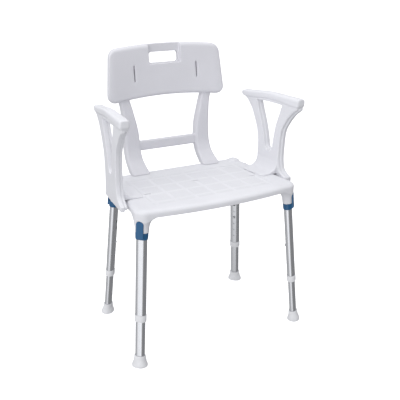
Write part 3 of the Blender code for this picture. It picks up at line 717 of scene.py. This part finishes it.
def make_foot(tag, place, material):
    low = -LEG_LENGTH
    stops = (
        (low - 0.008, 0.0205),
        (low + 0.004, 0.0200),
        (low + 0.009, 0.0186),
        (low + 0.015, 0.0163),
        (low + 0.023, 0.0146),
        (low + FOOT_HEIGHT - 0.0015, 0.0138),
    )
    steps = 40
    top = low + FOOT_HEIGHT
    outline = []
    for step in range(steps + 1):
        height = low - 0.008 + (FOOT_HEIGHT + 0.0065) * step / steps
        outline.append((curve_value(height, stops), height))
    outline.append((0.0134, top - 0.0004))
    outline.append((0.0128, top))
    foot = add_form(stacked(outline), place)
    pocket = ((INNER_RADIUS + GAP, low + SOLE_THICKNESS - GAP), (INNER_RADIUS + GAP, top + 0.01))
    combine(foot, add_form(stacked(pocket), place))
    combine(foot, add_form(box_mesh((-0.5, -0.5, -0.1), (0.5, 0.5, 0.0))))
    centre = place @ Vector((0.0, 0.0, -RING_HEIGHT))
    turn = place.to_3x3()
    heading = Matrix.Rotation(math.atan2(turn[1][0], turn[0][0]), 4, "Z")
    flat = Matrix.Translation((centre.x, centre.y, TREAD_LEVEL)) @ heading
    for near in TREAD_RADII:
        far = near + TREAD_WIDTH
        low, high = -TREAD_HALF_HEIGHT, TREAD_HALF_HEIGHT
        combine(foot, add_form(ringed([(near, low), (far, low), (far, high), (near, high)]), flat))
    fused(foot, FOOT_VOXEL, 2)
    body, nodes = f"lower_leg_{tag}", [f"foot_{tag}"]
    piece_from(foot, f"rubber_foot_{tag}", body, nodes, material, change=level_sole)


def tongue_outline(half_width, bottom, top, steps=28):
    crown = half_width * 0.8
    outline = []
    for step in range(steps + 1):
        angle = math.pi * step / steps
        outline.append((half_width * math.cos(angle), top - crown + crown * math.sin(angle)))
    outline.append((-half_width, bottom))
    outline.append((half_width, bottom))
    return outline


def make_clip(tag, place, material):
    bore = OUTER_RADIUS + GAP
    wide = SOCKET_RADIUS - 0.0002
    stops = (
        (0.0, OUTER_RADIUS + COLLAR_WALL),
        (0.004, OUTER_RADIUS + 0.0020),
        (0.012, wide - 0.0002),
        (CLIP_HEIGHT - 0.001, wide),
    )
    steps = 16
    outside = []
    for step in range(steps + 1):
        height = (CLIP_HEIGHT - 0.001) * step / steps
        outside.append((curve_value(height, stops), height))
    profile = outside + [(wide - 0.0007, CLIP_HEIGHT), (bore, CLIP_HEIGHT), (bore, 0.0)]
    clip = add_form(ringed(profile, straight=CLIP_STRAIGHT), place)
    inside = SOCKET_RADIUS + GAP
    outer = inside + TONGUE_THICKNESS
    half_width = TONGUE_HALF_WIDTH
    outline = tongue_outline(half_width, 0.004, TONGUE_TOP)
    rings = [[(depth, across, height) for across, height in outline] for depth in (inside, outer)]
    tongue = add_form(skin_mesh(rings), place)
    low = (wide - 0.002, -half_width + 0.0002, 0.0045)
    high = (inside + 0.001, half_width - 0.0002, 0.0165)
    combine(clip, add_form(box_mesh(low, high), place), "UNION")
    combine(clip, tongue, "UNION")
    fused(clip, CLIP_VOXEL, 3)
    piece_from(clip, f"height_clip_{tag}", f"clip_{tag}", [f"leg_clip_{tag}"], material)


def make_button(tag, place, metal):
    wall_inside = INNER_RADIUS - INNER_WALL
    tip = OUTER_RADIUS + BUTTON_PROUD
    flange_face = -wall_inside + 2 * GAP
    profile = [
        (FLANGE_RADIUS - 0.0003, flange_face + FLANGE_THICKNESS),
        (FLANGE_RADIUS, flange_face + FLANGE_THICKNESS - 0.0003),
        (FLANGE_RADIUS, flange_face),
        (BUTTON_RADIUS, flange_face),
    ]
    dome = 0.0030
    arc_steps = 10
    for step in range(arc_steps):
        angle = math.pi / 2 * step / arc_steps
        profile.append((BUTTON_RADIUS * math.cos(angle), -tip + dome - dome * math.sin(angle)))
    segments = 40
    rings = []
    for radius, depth in profile:
        turns = [2 * math.pi * step / segments for step in range(segments)]
        rings.append([(depth, radius * math.cos(a), BUTTON_HEIGHT + radius * math.sin(a)) for a in turns])
    button = add_form(skin_mesh(rings), place)
    body = f"button_{tag}"
    piece_from(button, f"locking_button_{tag}", body, [f"snap_button_{tag}"], metal, angle=40)


def make_spring(tag, place, metal):
    wall_inside = INNER_RADIUS - INNER_WALL
    leaf = SPRING_LEAF
    back_of_button = -wall_inside + 2 * GAP + FLANGE_THICKNESS + GAP
    bend_radius = SPRING_BEND
    far_side = wall_inside - GAP
    centre = (back_of_button + far_side) / 2
    low = BUTTON_HEIGHT - SPRING_DROP
    outer = [(back_of_button, BUTTON_HEIGHT + 0.004), (back_of_button, BUTTON_HEIGHT - 0.006)]
    inner = [(back_of_button + leaf, BUTTON_HEIGHT + 0.004), (back_of_button + leaf, BUTTON_HEIGHT - 0.006)]
    bend_steps = 24
    for step in range(bend_steps + 1):
        angle = math.pi * (1 + step / bend_steps)
        for points, radius in ((outer, bend_radius), (inner, bend_radius - leaf)):
            points.append((centre + radius * math.cos(angle), low + radius * math.sin(angle)))
    outer.append((far_side, BUTTON_HEIGHT - 0.004))
    inner.append((far_side - leaf, BUTTON_HEIGHT - 0.004))
    outline = outer + inner[::-1]
    sides = (-SPRING_HALF_WIDTH, SPRING_HALF_WIDTH)
    rings = [[(across, depth, height) for across, height in outline] for depth in sides]
    spring = add_form(skin_mesh(rings), place)
    body = f"lower_leg_{tag}"
    piece_from(spring, f"leaf_spring_{tag}", body, [f"button_spring_{tag}"], metal, angle=35)


# ---------- seat


def seat_outline(inset, height):
    radius = SEAT_CORNER_RADIUS - inset
    front_y = SEAT_FRONT_Y + inset
    rear_y = SEAT_REAR_Y - inset
    corners = (
        (SEAT_FRONT_HALF_WIDTH - inset, front_y, -0.5),
        (SEAT_REAR_HALF_WIDTH - inset, rear_y, 0.0),
        (-SEAT_REAR_HALF_WIDTH + inset, rear_y, 0.5),
        (-SEAT_FRONT_HALF_WIDTH + inset, front_y, 1.0),
    )
    points = []
    corner_steps = 18
    for across, along, first in corners:
        centre_x = across - math.copysign(radius, across)
        centre_y = along - math.copysign(radius, along)
        for step in range(corner_steps + 1):
            angle = math.pi * (first + 0.5 * step / corner_steps)
            points.append([centre_x + radius * math.cos(angle), centre_y + radius * math.sin(angle)])
    bow_steps = 40
    start = points[-1][0]
    for step in range(1, bow_steps):
        points.append([start - 2 * start * step / bow_steps, front_y])
    half = SEAT_FRONT_HALF_WIDTH - SEAT_CORNER_RADIUS
    for point in points:
        if point[1] < 0:
            forward = smooth(-point[1] / (-front_y))
            point[1] -= SEAT_FRONT_BOW * forward * max(0.0, 1 - (point[0] / half) ** 2)
    return [(x, y, height) for x, y in points]


def rolled_rings(bottom, inset):
    roll = SEAT_EDGE_ROLL
    shoulder = SEAT_TOP - 0.75 * roll
    rings = [seat_outline(inset, bottom), seat_outline(inset, shoulder - inset)]
    steps = 12
    for step in range(1, steps + 1):
        angle = math.pi / 2 * step / steps
        height = shoulder + 0.75 * roll * math.sin(angle) - inset
        rings.append(seat_outline(inset + roll * (1 - math.cos(angle)), height))
    return rings


def make_horn(place, seat, prism):
    mouth = CLIP_HEIGHT + GAP
    stops = (
        (mouth, 0.0),
        (mouth + 0.012, 0.0003),
        (mouth + 0.022, 0.0018),
        (mouth + 0.032, 0.0055),
        (mouth + 0.040, 0.0120),
        (mouth + 0.047, 0.0220),
    )
    steps = 18
    rings = []
    for step in range(steps + 1):
        height = mouth + 0.047 * step / steps
        rings.append(oval(SOCKET_RADIUS + curve_value(height, stops), height, SOCKET_STRAIGHT))
    world = [[place @ Vector(point) for point in ring] for ring in rings]
    top_ring = [Vector((point.x, point.y, SEAT_TOP - 0.0020)) for point in world[-1]]
    horn = add_form(skin_mesh(world + [top_ring]))
    combine(horn, prism, "INTERSECT")
    combine(seat, horn, "UNION")


def make_bore(place, seat):
    radius = OUTER_RADIUS + GAP
    profile = ((radius, 0.0), (radius, TUBE_TOP + GAP))
    combine(seat, add_form(stacked(profile), place))
    outline = tongue_outline(TONGUE_HALF_WIDTH + TONGUE_CLEARANCE, 0.002, TONGUE_TOP + TONGUE_CLEARANCE)
    depths = (SOCKET_RADIUS - 0.0002, SOCKET_RADIUS + 0.030)
    rings = [[(depth, across, height) for across, height in outline] for depth in depths]
    combine(seat, add_form(skin_mesh(rings), place))


def make_mound(side):
    stops = ((-0.0030, 0.0240), (0.0015, 0.0210), (0.0055, 0.0150), (0.0085, 0.0080), (0.0095, 0.0030))
    steps = 14
    segments = 48
    rings = []
    for step in range(steps + 1):
        above = -0.0030 + 0.0125 * math.sin(math.pi / 2 * step / steps)
        radius = curve_value(above, stops)
        ring = []
        for turn in range(segments):
            angle = 2 * math.pi * turn / segments
            across = side * MOUND_PLACE[0] + radius * math.cos(angle)
            ring.append((across, MOUND_PLACE[1] + radius * math.sin(angle), SEAT_TOP + above))
        rings.append(ring)
    return add_form(skin_mesh(rings))


def read_points(mesh):
    """The mesh's vertex places and normals, as rows of three."""
    found = []
    for field in ("co", "normal"):
        values = np.zeros(len(mesh.vertices) * 3, np.float32)
        mesh.vertices.foreach_get(field, values)
        found.append(values.reshape(-1, 3))
    return found


def eased(values):
    values = np.clip(values, 0.0, 1.0)
    return values * values * (3 - 2 * values)


def emboss_seat(mesh):
    """Sinks a grid of shallow squares into the seat's top."""
    spots, ways = read_points(mesh)
    x, y, z = spots[:, 0], spots[:, 1] - CENTRING.y, spots[:, 2]
    top = (z > SEAT_TOP - 0.0016) & (z < SEAT_TOP + 0.0006) & (ways[:, 2] > 0.9)
    to_x = np.abs((x / SQUARE_PITCH) % 1.0 - 0.5) * SQUARE_PITCH
    to_y = np.abs(((y - SQUARE_LINE_Y) / SQUARE_PITCH) % 1.0 - 0.5) * SQUARE_PITCH
    edge = (SQUARE_PITCH - SQUARE_BAND) / 2
    inside = 1 - eased((np.maximum(to_x, to_y) - edge) / SQUARE_SLOPE + 0.5)
    limit = eased((SQUARES_HALF_WIDTH - np.abs(x)) / SQUARE_SLOPE)
    limit *= eased((y - SQUARES_FRONT) / SQUARE_SLOPE) * eased((SQUARES_REAR - y) / SQUARE_SLOPE)
    spots[:, 2] -= SQUARE_DEPTH * inside * limit * top
    mesh.vertices.foreach_set("co", spots.ravel())
    sunk = mesh.attributes.new("sunk", "FLOAT", "POINT")
    sunk.data.foreach_set("value", (inside * limit * top).astype(np.float32))
    mesh.update()


def make_seat(places, arm_places, material):
    seat = add_form(skin_mesh(rolled_rings(SEAT_BOTTOM, 0.0)))
    under = [seat_outline(SEAT_WALL, SEAT_BOTTOM - 0.02), seat_outline(SEAT_WALL, SEAT_TOP - 0.014)]
    under.append(seat_outline(SEAT_WALL + 0.009, SEAT_TOP - SEAT_WALL))
    combine(seat, add_form(skin_mesh(under)))
    for along in RIB_PLACES:
        low = (-RIB_HALF_LENGTH, along - RIB_THICKNESS / 2, SEAT_BOTTOM + 0.004)
        high = (RIB_HALF_LENGTH, along + RIB_THICKNESS / 2, SEAT_TOP - 0.002)
        combine(seat, add_form(box_mesh(low, high)), "UNION")
    prism = add_form(skin_mesh(rolled_rings(0.38, 0.0004)))
    for place in places:
        make_horn(place, seat, prism)
    for side in (-1, 1):
        combine(seat, make_mound(side), "UNION")
    for place in places:
        make_bore(place, seat)
    bottom, top = SEAT_TOP - SLOT_BELOW, SEAT_TOP + SLOT_ABOVE
    for side, place in zip((-1, 1), arm_places):
        for along in PEG_PLACES:
            near, far = -side * (PEG_NEAR - GAP), -side * (PEG_FAR + GAP)
            low = (min(near, far), along - PEG_HALF_LENGTH - GAP, bottom)
            high = (max(near, far), along + PEG_HALF_LENGTH + GAP, top)
            combine(seat, add_form(box_mesh(low, high), place))
        tenon_x = side * (UPRIGHT_INNER + UPRIGHT_OUTER) / 2
        low = (tenon_x - TENON_HALF_WIDTH - GAP, TENON_FRONT - GAP, bottom)
        high = (tenon_x + TENON_HALF_WIDTH + GAP, TENON_REAR + GAP, top)
        combine(seat, add_form(box_mesh(low, high)))
    for across, along in DRAIN_PLACES:
        outline = rounded_section(
            across - DRAIN_HALF_LENGTH, across + DRAIN_HALF_LENGTH,
            along - DRAIN_HALF_WIDTH, along + DRAIN_HALF_WIDTH, DRAIN_CORNER,
        )
        combine(seat, add_form(skin_mesh([[(x, y, height) for x, y in outline] for height in (bottom, top)])))
    fused(seat, SEAT_VOXEL, 4)
    piece_from(seat, "seat_moulding", "seat_frame", ["seat"], material, change=emboss_seat)


# ---------- backrest


def panel_front(across):
    return PANEL_FRONT_Y - PANEL_DISH * (across / PANEL_HALF_WIDTH) ** 2


def make_panel(backrest):
    stations = 96
    rings = []
    middle = (PANEL_TOP + PANEL_BOTTOM) / 2
    for index in range(stations + 1):
        spread = -math.cos(math.pi * index / stations)
        share = 0.55 * spread + 0.45 * (2 * index / stations - 1)
        across = PANEL_HALF_WIDTH * share
        from_end = PANEL_HALF_WIDTH - abs(across)
        corner = max(0.0, 1 - from_end / PANEL_END_RADIUS)
        drop = PANEL_END_RADIUS * (1 - math.sqrt(max(0.0, 1 - corner**2)))
        top = PANEL_TOP + 0.011 * (1 - share**2) - drop * 0.95
        bottom = PANEL_BOTTOM + 0.014 * (1 - share**2) + drop * 0.95
        thin = PANEL_THICKNESS * (0.30 + 0.70 * math.sqrt(max(0.0, 1 - corner**2.0)))
        front = panel_front(across) + (PANEL_THICKNESS - thin) * 0.35
        radius = thin * 0.42
        ring = []
        for depth, height in rounded_section(front, front + thin, bottom, top, radius):
            lean = PANEL_LEAN * (height - middle)
            slim = 0.012 * abs(share) ** 3 * (height - bottom) / (top - bottom)
            ring.append((across - math.copysign(slim, across), depth + lean, height))
        rings.append(ring)
    combine(backrest, add_form(skin_mesh(rings)), "UNION")


def make_upright(backrest, side):
    front_stops = (
        (UPRIGHT_BASE, 0.126), (0.498, 0.137), (0.512, 0.160), (0.532, 0.181),
        (0.565, 0.193), (0.66, 0.1985), (0.74, 0.204),
    )
    rear_stops = (
        (UPRIGHT_BASE, 0.170), (0.498, 0.181), (0.512, 0.200), (0.532, 0.216),
        (0.565, 0.228), (0.66, 0.231), (0.74, 0.231),
    )
    inner_stops = ((UPRIGHT_BASE, 0.099), (0.52, 0.1015), (0.60, 0.1045), (0.68, 0.120), (0.74, 0.137))
    outer_stops = ((UPRIGHT_BASE, 0.160), (0.52, 0.1565), (0.60, 0.1540), (0.68, 0.158), (0.74, 0.170))
    rings = []
    steps = 60
    for step in range(steps + 1):
        share = step / steps
        height = UPRIGHT_BASE + UPRIGHT_RISE * share**1.3
        front = curve_value(height, front_stops)
        rear = curve_value(height, rear_stops)
        inner = curve_value(height, inner_stops)
        outer = curve_value(height, outer_stops)
        section = rounded_section(inner, outer, front, rear, 0.008)
        rings.append([(side * across, depth, height) for across, depth in section])
    combine(backrest, add_form(skin_mesh(rings)), "UNION")
    tenon_x = side * (UPRIGHT_INNER + UPRIGHT_OUTER) / 2
    low = (tenon_x - TENON_HALF_WIDTH, TENON_FRONT, SEAT_TOP - TENON_DEPTH)
    high = (tenon_x + TENON_HALF_WIDTH, TENON_REAR, SEAT_TOP + 0.006)
    combine(backrest, add_form(box_mesh(low, high)), "UNION")


def dip_slits(mesh):
    """Sinks a shallow oval dip round each slit, in the panel's front face."""
    spots, ways = read_points(mesh)
    across = (np.abs(spots[:, 0]) - SLIT_PLACE) / DIP_HALF_WIDTH
    up = (spots[:, 2] - SLIT_MIDDLE) / DIP_HALF_HEIGHT
    away = np.sqrt(across**2 + up**2)
    spots[:, 1] += DIP_DEPTH * eased(1.25 - away) * (ways[:, 1] < -0.6)
    mesh.vertices.foreach_set("co", spots.ravel())
    mesh.update()


def make_backrest(material):
    low = (-CROSSBAR_HALF_LENGTH, CROSSBAR_FRONT, CROSSBAR_BOTTOM)
    high = (CROSSBAR_HALF_LENGTH, CROSSBAR_REAR, CROSSBAR_TOP)
    backrest = add_form(box_mesh(low, high, 0.004))
    for side in (-1, 1):
        make_upright(backrest, side)
    make_panel(backrest)
    low = (-HAND_SLOT_HALF_WIDTH, CUT_FRONT, HAND_SLOT_BOTTOM)
    high = (HAND_SLOT_HALF_WIDTH, CUT_REAR, HAND_SLOT_TOP)
    combine(backrest, add_form(box_mesh(low, high, 0.010, 8)))
    recess_depth = PANEL_FRONT_Y + PANEL_LEAN * 0.07 + 0.011
    low = (-HAND_RECESS_HALF_WIDTH, 0.15, HAND_SLOT_BOTTOM - 0.001)
    high = (HAND_RECESS_HALF_WIDTH, recess_depth, 0.93)
    combine(backrest, add_form(box_mesh(low, high, 0.004)))
    for side in (-1, 1):
        low = (side * SLIT_PLACE - SLIT_HALF_WIDTH, CUT_FRONT, SLIT_BOTTOM)
        high = (side * SLIT_PLACE + SLIT_HALF_WIDTH, CUT_REAR, SLIT_TOP)
        combine(backrest, add_form(box_mesh(low, high, 0.0015)))
    fused(backrest, BACK_VOXEL, 5)
    piece_from(backrest, "back_moulding", "back", ["backrest"], material, change=dip_slits)


# ---------- armrests


def arm_matrix(side):
    return Matrix.Translation((side * ARM_INNER, 0.0, 0.0)) @ Matrix.Rotation(side * ARM_TOE, 4, "Z")


def arm_plate_loops():
    outline = (
        (-0.104, ARM_BASE, True),
        (0.064, ARM_BASE, True),
        (0.0600, 0.4900, True),
        (0.0545, 0.515, False),
        (ARM_REAR - 0.0010, 0.560, False),
        (0.0580, 0.612, False),
        (0.0840, 0.668, False),
        (0.1080, 0.6970, False),
        (0.1380, 0.7190, True),
        (0.1200, 0.7290, True),
        (-0.1420, 0.7290, True),
        (-0.1420, 0.7095, True),
        (-0.1180, 0.6920, False),
        (-0.0920, 0.662, False),
        (-0.0720, 0.625, False),
        (ARM_FRONT, 0.560, False),
        (ARM_FRONT - 0.0010, 0.525, False),
        (-0.0760, 0.501, False),
        (-0.1040, 0.4840, True),
    )
    opening = (
        (0.050, 0.702, False),
        (0.042, 0.711, False),
        (-0.054, 0.7125, False),
        (-0.061, 0.704, False),
        (-0.040, 0.648, False),
        (-0.0275, 0.590, False),
        (-0.0245, 0.568, False),
        (-0.010, 0.558, False),
        (0.0065, 0.568, False),
        (0.013, 0.600, False),
        (0.027, 0.645, False),
    )
    return outline, opening


def make_arm_pad(side):
    stations = 60
    rings = []
    for index in range(stations + 1):
        along = PAD_FRONT + (PAD_REAR - PAD_FRONT) * (0.5 - 0.5 * math.cos(math.pi * index / stations))
        nose = min((along - PAD_FRONT) / 0.010, 1.0)
        tail = min((PAD_REAR - along) / 0.030, 1.0)
        full = min(math.sqrt(1 - (1 - nose) ** 2), math.sqrt(1 - (1 - tail) ** 2))
        top = ARM_TOP - 0.012 * smooth((along + 0.02) / 0.16) - 0.004 * (1 - full)
        thick = (0.030 - 0.008 * smooth((along + 0.13) / 0.12)) * (0.45 + 0.55 * full)
        half_width = PAD_HALF_WIDTH * (0.62 + 0.38 * full)
        radius = min(thick / 2, half_width) * 0.62
        section = rounded_section(PAD_MIDDLE - half_width, PAD_MIDDLE + half_width, top - thick, top, radius)
        rings.append([(side * across, along, height) for across, height in section])
    return skin_mesh(rings)


def make_arm_foot(side):
    stops = (
        (GAP, ARM_FOOT_REACH),
        (0.0030, ARM_FOOT_REACH - 0.003),
        (0.0048, 0.040),
        (0.0100, 0.019),
        (0.0220, 0.006),
        (0.0420, -0.001),
    )
    rings = []
    steps = 40
    for step in range(steps + 1):
        above = GAP + (0.0420 - GAP) * (step / steps) ** 1.6
        reach = curve_value(above, stops)
        radius = 0.004 + 0.12 * max(reach, 0.0)
        section = rounded_section(-reach, 0.012, ARM_FRONT + 0.0055, ARM_REAR - 0.0055, radius)
        rings.append([(side * across, along, SEAT_TOP + above) for across, along in section])
    return skin_mesh(rings)


def arm_layers(side, loop, layers):
    rings = []
    for depth, inset in layers:
        rings.append([(side * depth, point.x, point.y) for point in smooth_loop(loop, inset)])
    return skin_mesh(rings)


def make_armrest(tag, side, place, material):
    outline, opening = arm_plate_loops()
    chamfer = ARM_CHAMFER
    step = ARM_THICKNESS * 0.45
    layers = (
        (0.0, ARM_STEP + 2 * chamfer),
        (chamfer, ARM_STEP + chamfer / 2),
        (2 * chamfer, ARM_STEP),
        (step, ARM_STEP),
        (step, chamfer),
        (step + chamfer, 0.0),
        (ARM_THICKNESS - chamfer, 0.0),
        (ARM_THICKNESS, chamfer),
    )
    hole_layers = (
        (-0.002, -ARM_STEP * 0.6 - chamfer),
        (chamfer, -ARM_STEP * 0.6),
        (step, -ARM_STEP * 0.6),
        (step, 0.0),
        (ARM_THICKNESS - chamfer, 0.0),
        (ARM_THICKNESS + 0.002, -chamfer),
    )
    arm = add_form(arm_layers(side, outline, layers), place)
    opening_mesh = arm_layers(side, opening, hole_layers)
    combine(arm, add_form(opening_mesh, place))
    meshes = [make_arm_pad(side), make_arm_foot(side)]
    for along in PEG_PLACES:
        near, far = -side * PEG_NEAR, -side * PEG_FAR
        low = (min(near, far), along - PEG_HALF_LENGTH, SEAT_TOP - PEG_DEPTH)
        high = (max(near, far), along + PEG_HALF_LENGTH, SEAT_TOP + 0.0025)
        meshes.append(box_mesh(low, high))
    for mesh in meshes:
        combine(arm, add_form(mesh, place), "UNION")
    fused(arm, ARM_VOXEL, 3)
    piece_from(arm, f"arm_moulding_{tag}", f"arm_{tag}", [f"armrest_{tag}"], material)


# ---------- the chair


def make_chair():
    legs = (
        ("front_left", -1, FRONT_LEG, FRONT_SPLAY),
        ("front_right", 1, FRONT_LEG, FRONT_SPLAY),
        ("rear_left", -1, REAR_LEG, REAR_SPLAY),
        ("rear_right", 1, REAR_LEG, REAR_SPLAY),
    )
    seat_white = moulded_plastic("seat_white", WHITE, 0.42)
    grained_squares(seat_white, WHITE)
    # The backrest gets the seat's white plastic darkened by painted shade
    back_painted_shade_white = moulded_plastic("back_painted_shade_white", PAINTED_SHADE_WHITE, 0.42)
    arm_white = moulded_plastic("arm_white", WHITE, 0.40)
    collar_white = moulded_plastic("collar_white", COLLAR_WHITE, 0.42)
    clip_blue = moulded_plastic("clip_blue", BLUE, 0.36, coat=0.08)
    foot_rubber = rubber("foot_rubber", RUBBER)
    places = []
    for tag, side, top, splay in legs:
        place = leg_matrix(side, top, splay)
        places.append(place)
        turn = place.to_3x3().inverted().to_euler()
        tube = drawn_metal(f"anodised_{tag}", ALUMINIUM, 0.17, turn)
        steel = drawn_metal(f"steel_{tag}", STEEL, 0.30, turn)
        make_leg_tube(tag, place, tube)
        make_leg_extension(tag, place, tube)
        make_collar(tag, place, collar_white)
        make_foot(tag, place, foot_rubber)
        make_clip(tag, place, clip_blue)
        make_button(tag, place, steel)
        make_spring(tag, place, steel)
    arm_places = [arm_matrix(-1), arm_matrix(1)]
    make_seat(places, arm_places, seat_white)
    make_backrest(back_painted_shade_white)
    make_armrest("left", -1, arm_places[0], arm_white)
    make_armrest("right", 1, arm_places[1], arm_white)
    for item in list(WORKSHOP.objects):
        bpy.data.objects.remove(item, do_unlink=True)
    bpy.data.collections.remove(WORKSHOP)


# ---------- stage, light and camera


def make_stage():
    profile = [(0.0, 0.0), (FLOOR_REACH, 0.0)]
    steps = 12
    for step in range(1, steps + 1):
        angle = math.pi / 2 * step / steps
        across = FLOOR_REACH + FLOOR_CURVE * math.sin(angle)
        profile.append((across, FLOOR_CURVE * (1 - math.cos(angle))))
    profile.append((FLOOR_REACH + FLOOR_CURVE, FLOOR_CURVE + WALL_HEIGHT))
    segments = 96
    sheet = bmesh.new()
    middle = sheet.verts.new((0.0, 0.0, 0.0))
    rows = []
    for radius, height in profile[1:]:
        turns = [2 * math.pi * step / segments for step in range(segments)]
        rows.append([sheet.verts.new((radius * math.cos(t), radius * math.sin(t), height)) for t in turns])
    for index in range(segments):
        after = (index + 1) % segments
        sheet.faces.new((middle, rows[0][index], rows[0][after]))
        for lower, upper in zip(rows, rows[1:]):
            sheet.faces.new((lower[index], upper[index], upper[after], lower[after]))
    mesh = mesh_of(sheet)
    mesh.name = "floor"
    mesh.shade_smooth()
    floor = bpy.data.objects.new("floor", mesh)
    bpy.context.scene.collection.objects.link(floor)
    material, tree, shader = new_material("pale_floor")
    cloud = noise_node(tree, place_nodes(tree), 1.5)
    mixed = tinted(tree, ranged(tree, cloud, 0.0, 1.0), FLOOR_DARK, FLOOR_LIGHT)
    tree.links.new(mixed, shader.inputs["Base Color"])
    shader.inputs["Roughness"].default_value = 0.9
    shader.inputs["Emission Color"].default_value = (1.0, 1.0, 1.0, 1.0)
    shader.inputs["Emission Strength"].default_value = FLOOR_GLOW
    mesh.materials.append(material)
    floor.visible_glossy = False
    floor.visible_diffuse = False
    floor.visible_shadow = False


def add_area(name, place, target, size, power):
    light = bpy.data.lights.new(name, "AREA")
    light.shape = "RECTANGLE"
    light.size, light.size_y = size
    light.energy = power
    item = bpy.data.objects.new(name, light)
    item.location = place
    item.rotation_euler = (Vector(target) - Vector(place)).to_track_quat("-Z", "Y").to_euler()
    bpy.context.scene.collection.objects.link(item)


def make_light():
    """A pale sky over a darker ring, with a bright card to the left of the camera."""
    world = bpy.data.worlds.new("studio")
    bpy.context.scene.world = world
    world.use_nodes = True
    tree = world.node_tree
    background = tree.nodes["Background"]
    coordinates = tree.nodes.new("ShaderNodeTexCoord")
    split = tree.nodes.new("ShaderNodeSeparateXYZ")
    tree.links.new(coordinates.outputs["Generated"], split.inputs["Vector"])
    sky = ranged(tree, split.outputs["Z"], 0.0, SKY, (-0.15, 0.35), "SMOOTHSTEP")
    towards = tree.nodes.new("ShaderNodeVectorMath")
    towards.operation = "DOT_PRODUCT"
    towards.inputs[1].default_value = CARD_WAY
    tree.links.new(coordinates.outputs["Generated"], towards.inputs[0])
    card = ranged(tree, towards.outputs["Value"], 0.0, CARD_BRIGHT, (0.70, 0.92), "SMOOTHSTEP")
    left = ranged(tree, split.outputs["X"], 0.0, CARD_LEFT, (0.10, -0.60), "SMOOTHSTEP")
    cards = calculated(tree, "ADD", left, card)
    below = ranged(tree, split.outputs["Z"], 0.0, 1.0, (0.30, -0.10), "SMOOTHSTEP")
    lower = calculated(tree, "MULTIPLY", cards, below)
    total = calculated(tree, "ADD", sky, lower)
    strength = calculated(tree, "ADD", total, DARKEST)
    tree.links.new(strength, background.inputs["Strength"])
    background.inputs["Color"].default_value = SKY_TINT
    add_area("key", (-1.9, -1.0, 2.0), LIGHT_TARGET, (1.2, 1.2), KEY_POWER)
    add_area("top", (0.1, 0.3, 2.6), LIGHT_TARGET, (1.8, 1.8), TOP_POWER)
    add_area("fill", (2.0, -0.9, 1.1), LIGHT_TARGET, (0.8, 1.6), FILL_POWER)


def make_camera():
    camera = bpy.data.cameras.new("camera")
    camera.lens = CAMERA_LENS
    camera.sensor_width = 36.0
    camera.clip_end = 200.0
    item = bpy.data.objects.new("camera", camera)
    item.location = CAMERA_PLACE
    item.rotation_euler = (math.radians(90 - CAMERA_PITCH), 0.0, math.radians(-CAMERA_YAW))
    bpy.context.scene.collection.objects.link(item)
    bpy.context.scene.camera = item


make_chair()
make_stage()
make_light()
make_camera()
bpy.context.scene.view_settings.view_transform = "Standard"
bpy.context.view_layer.update()
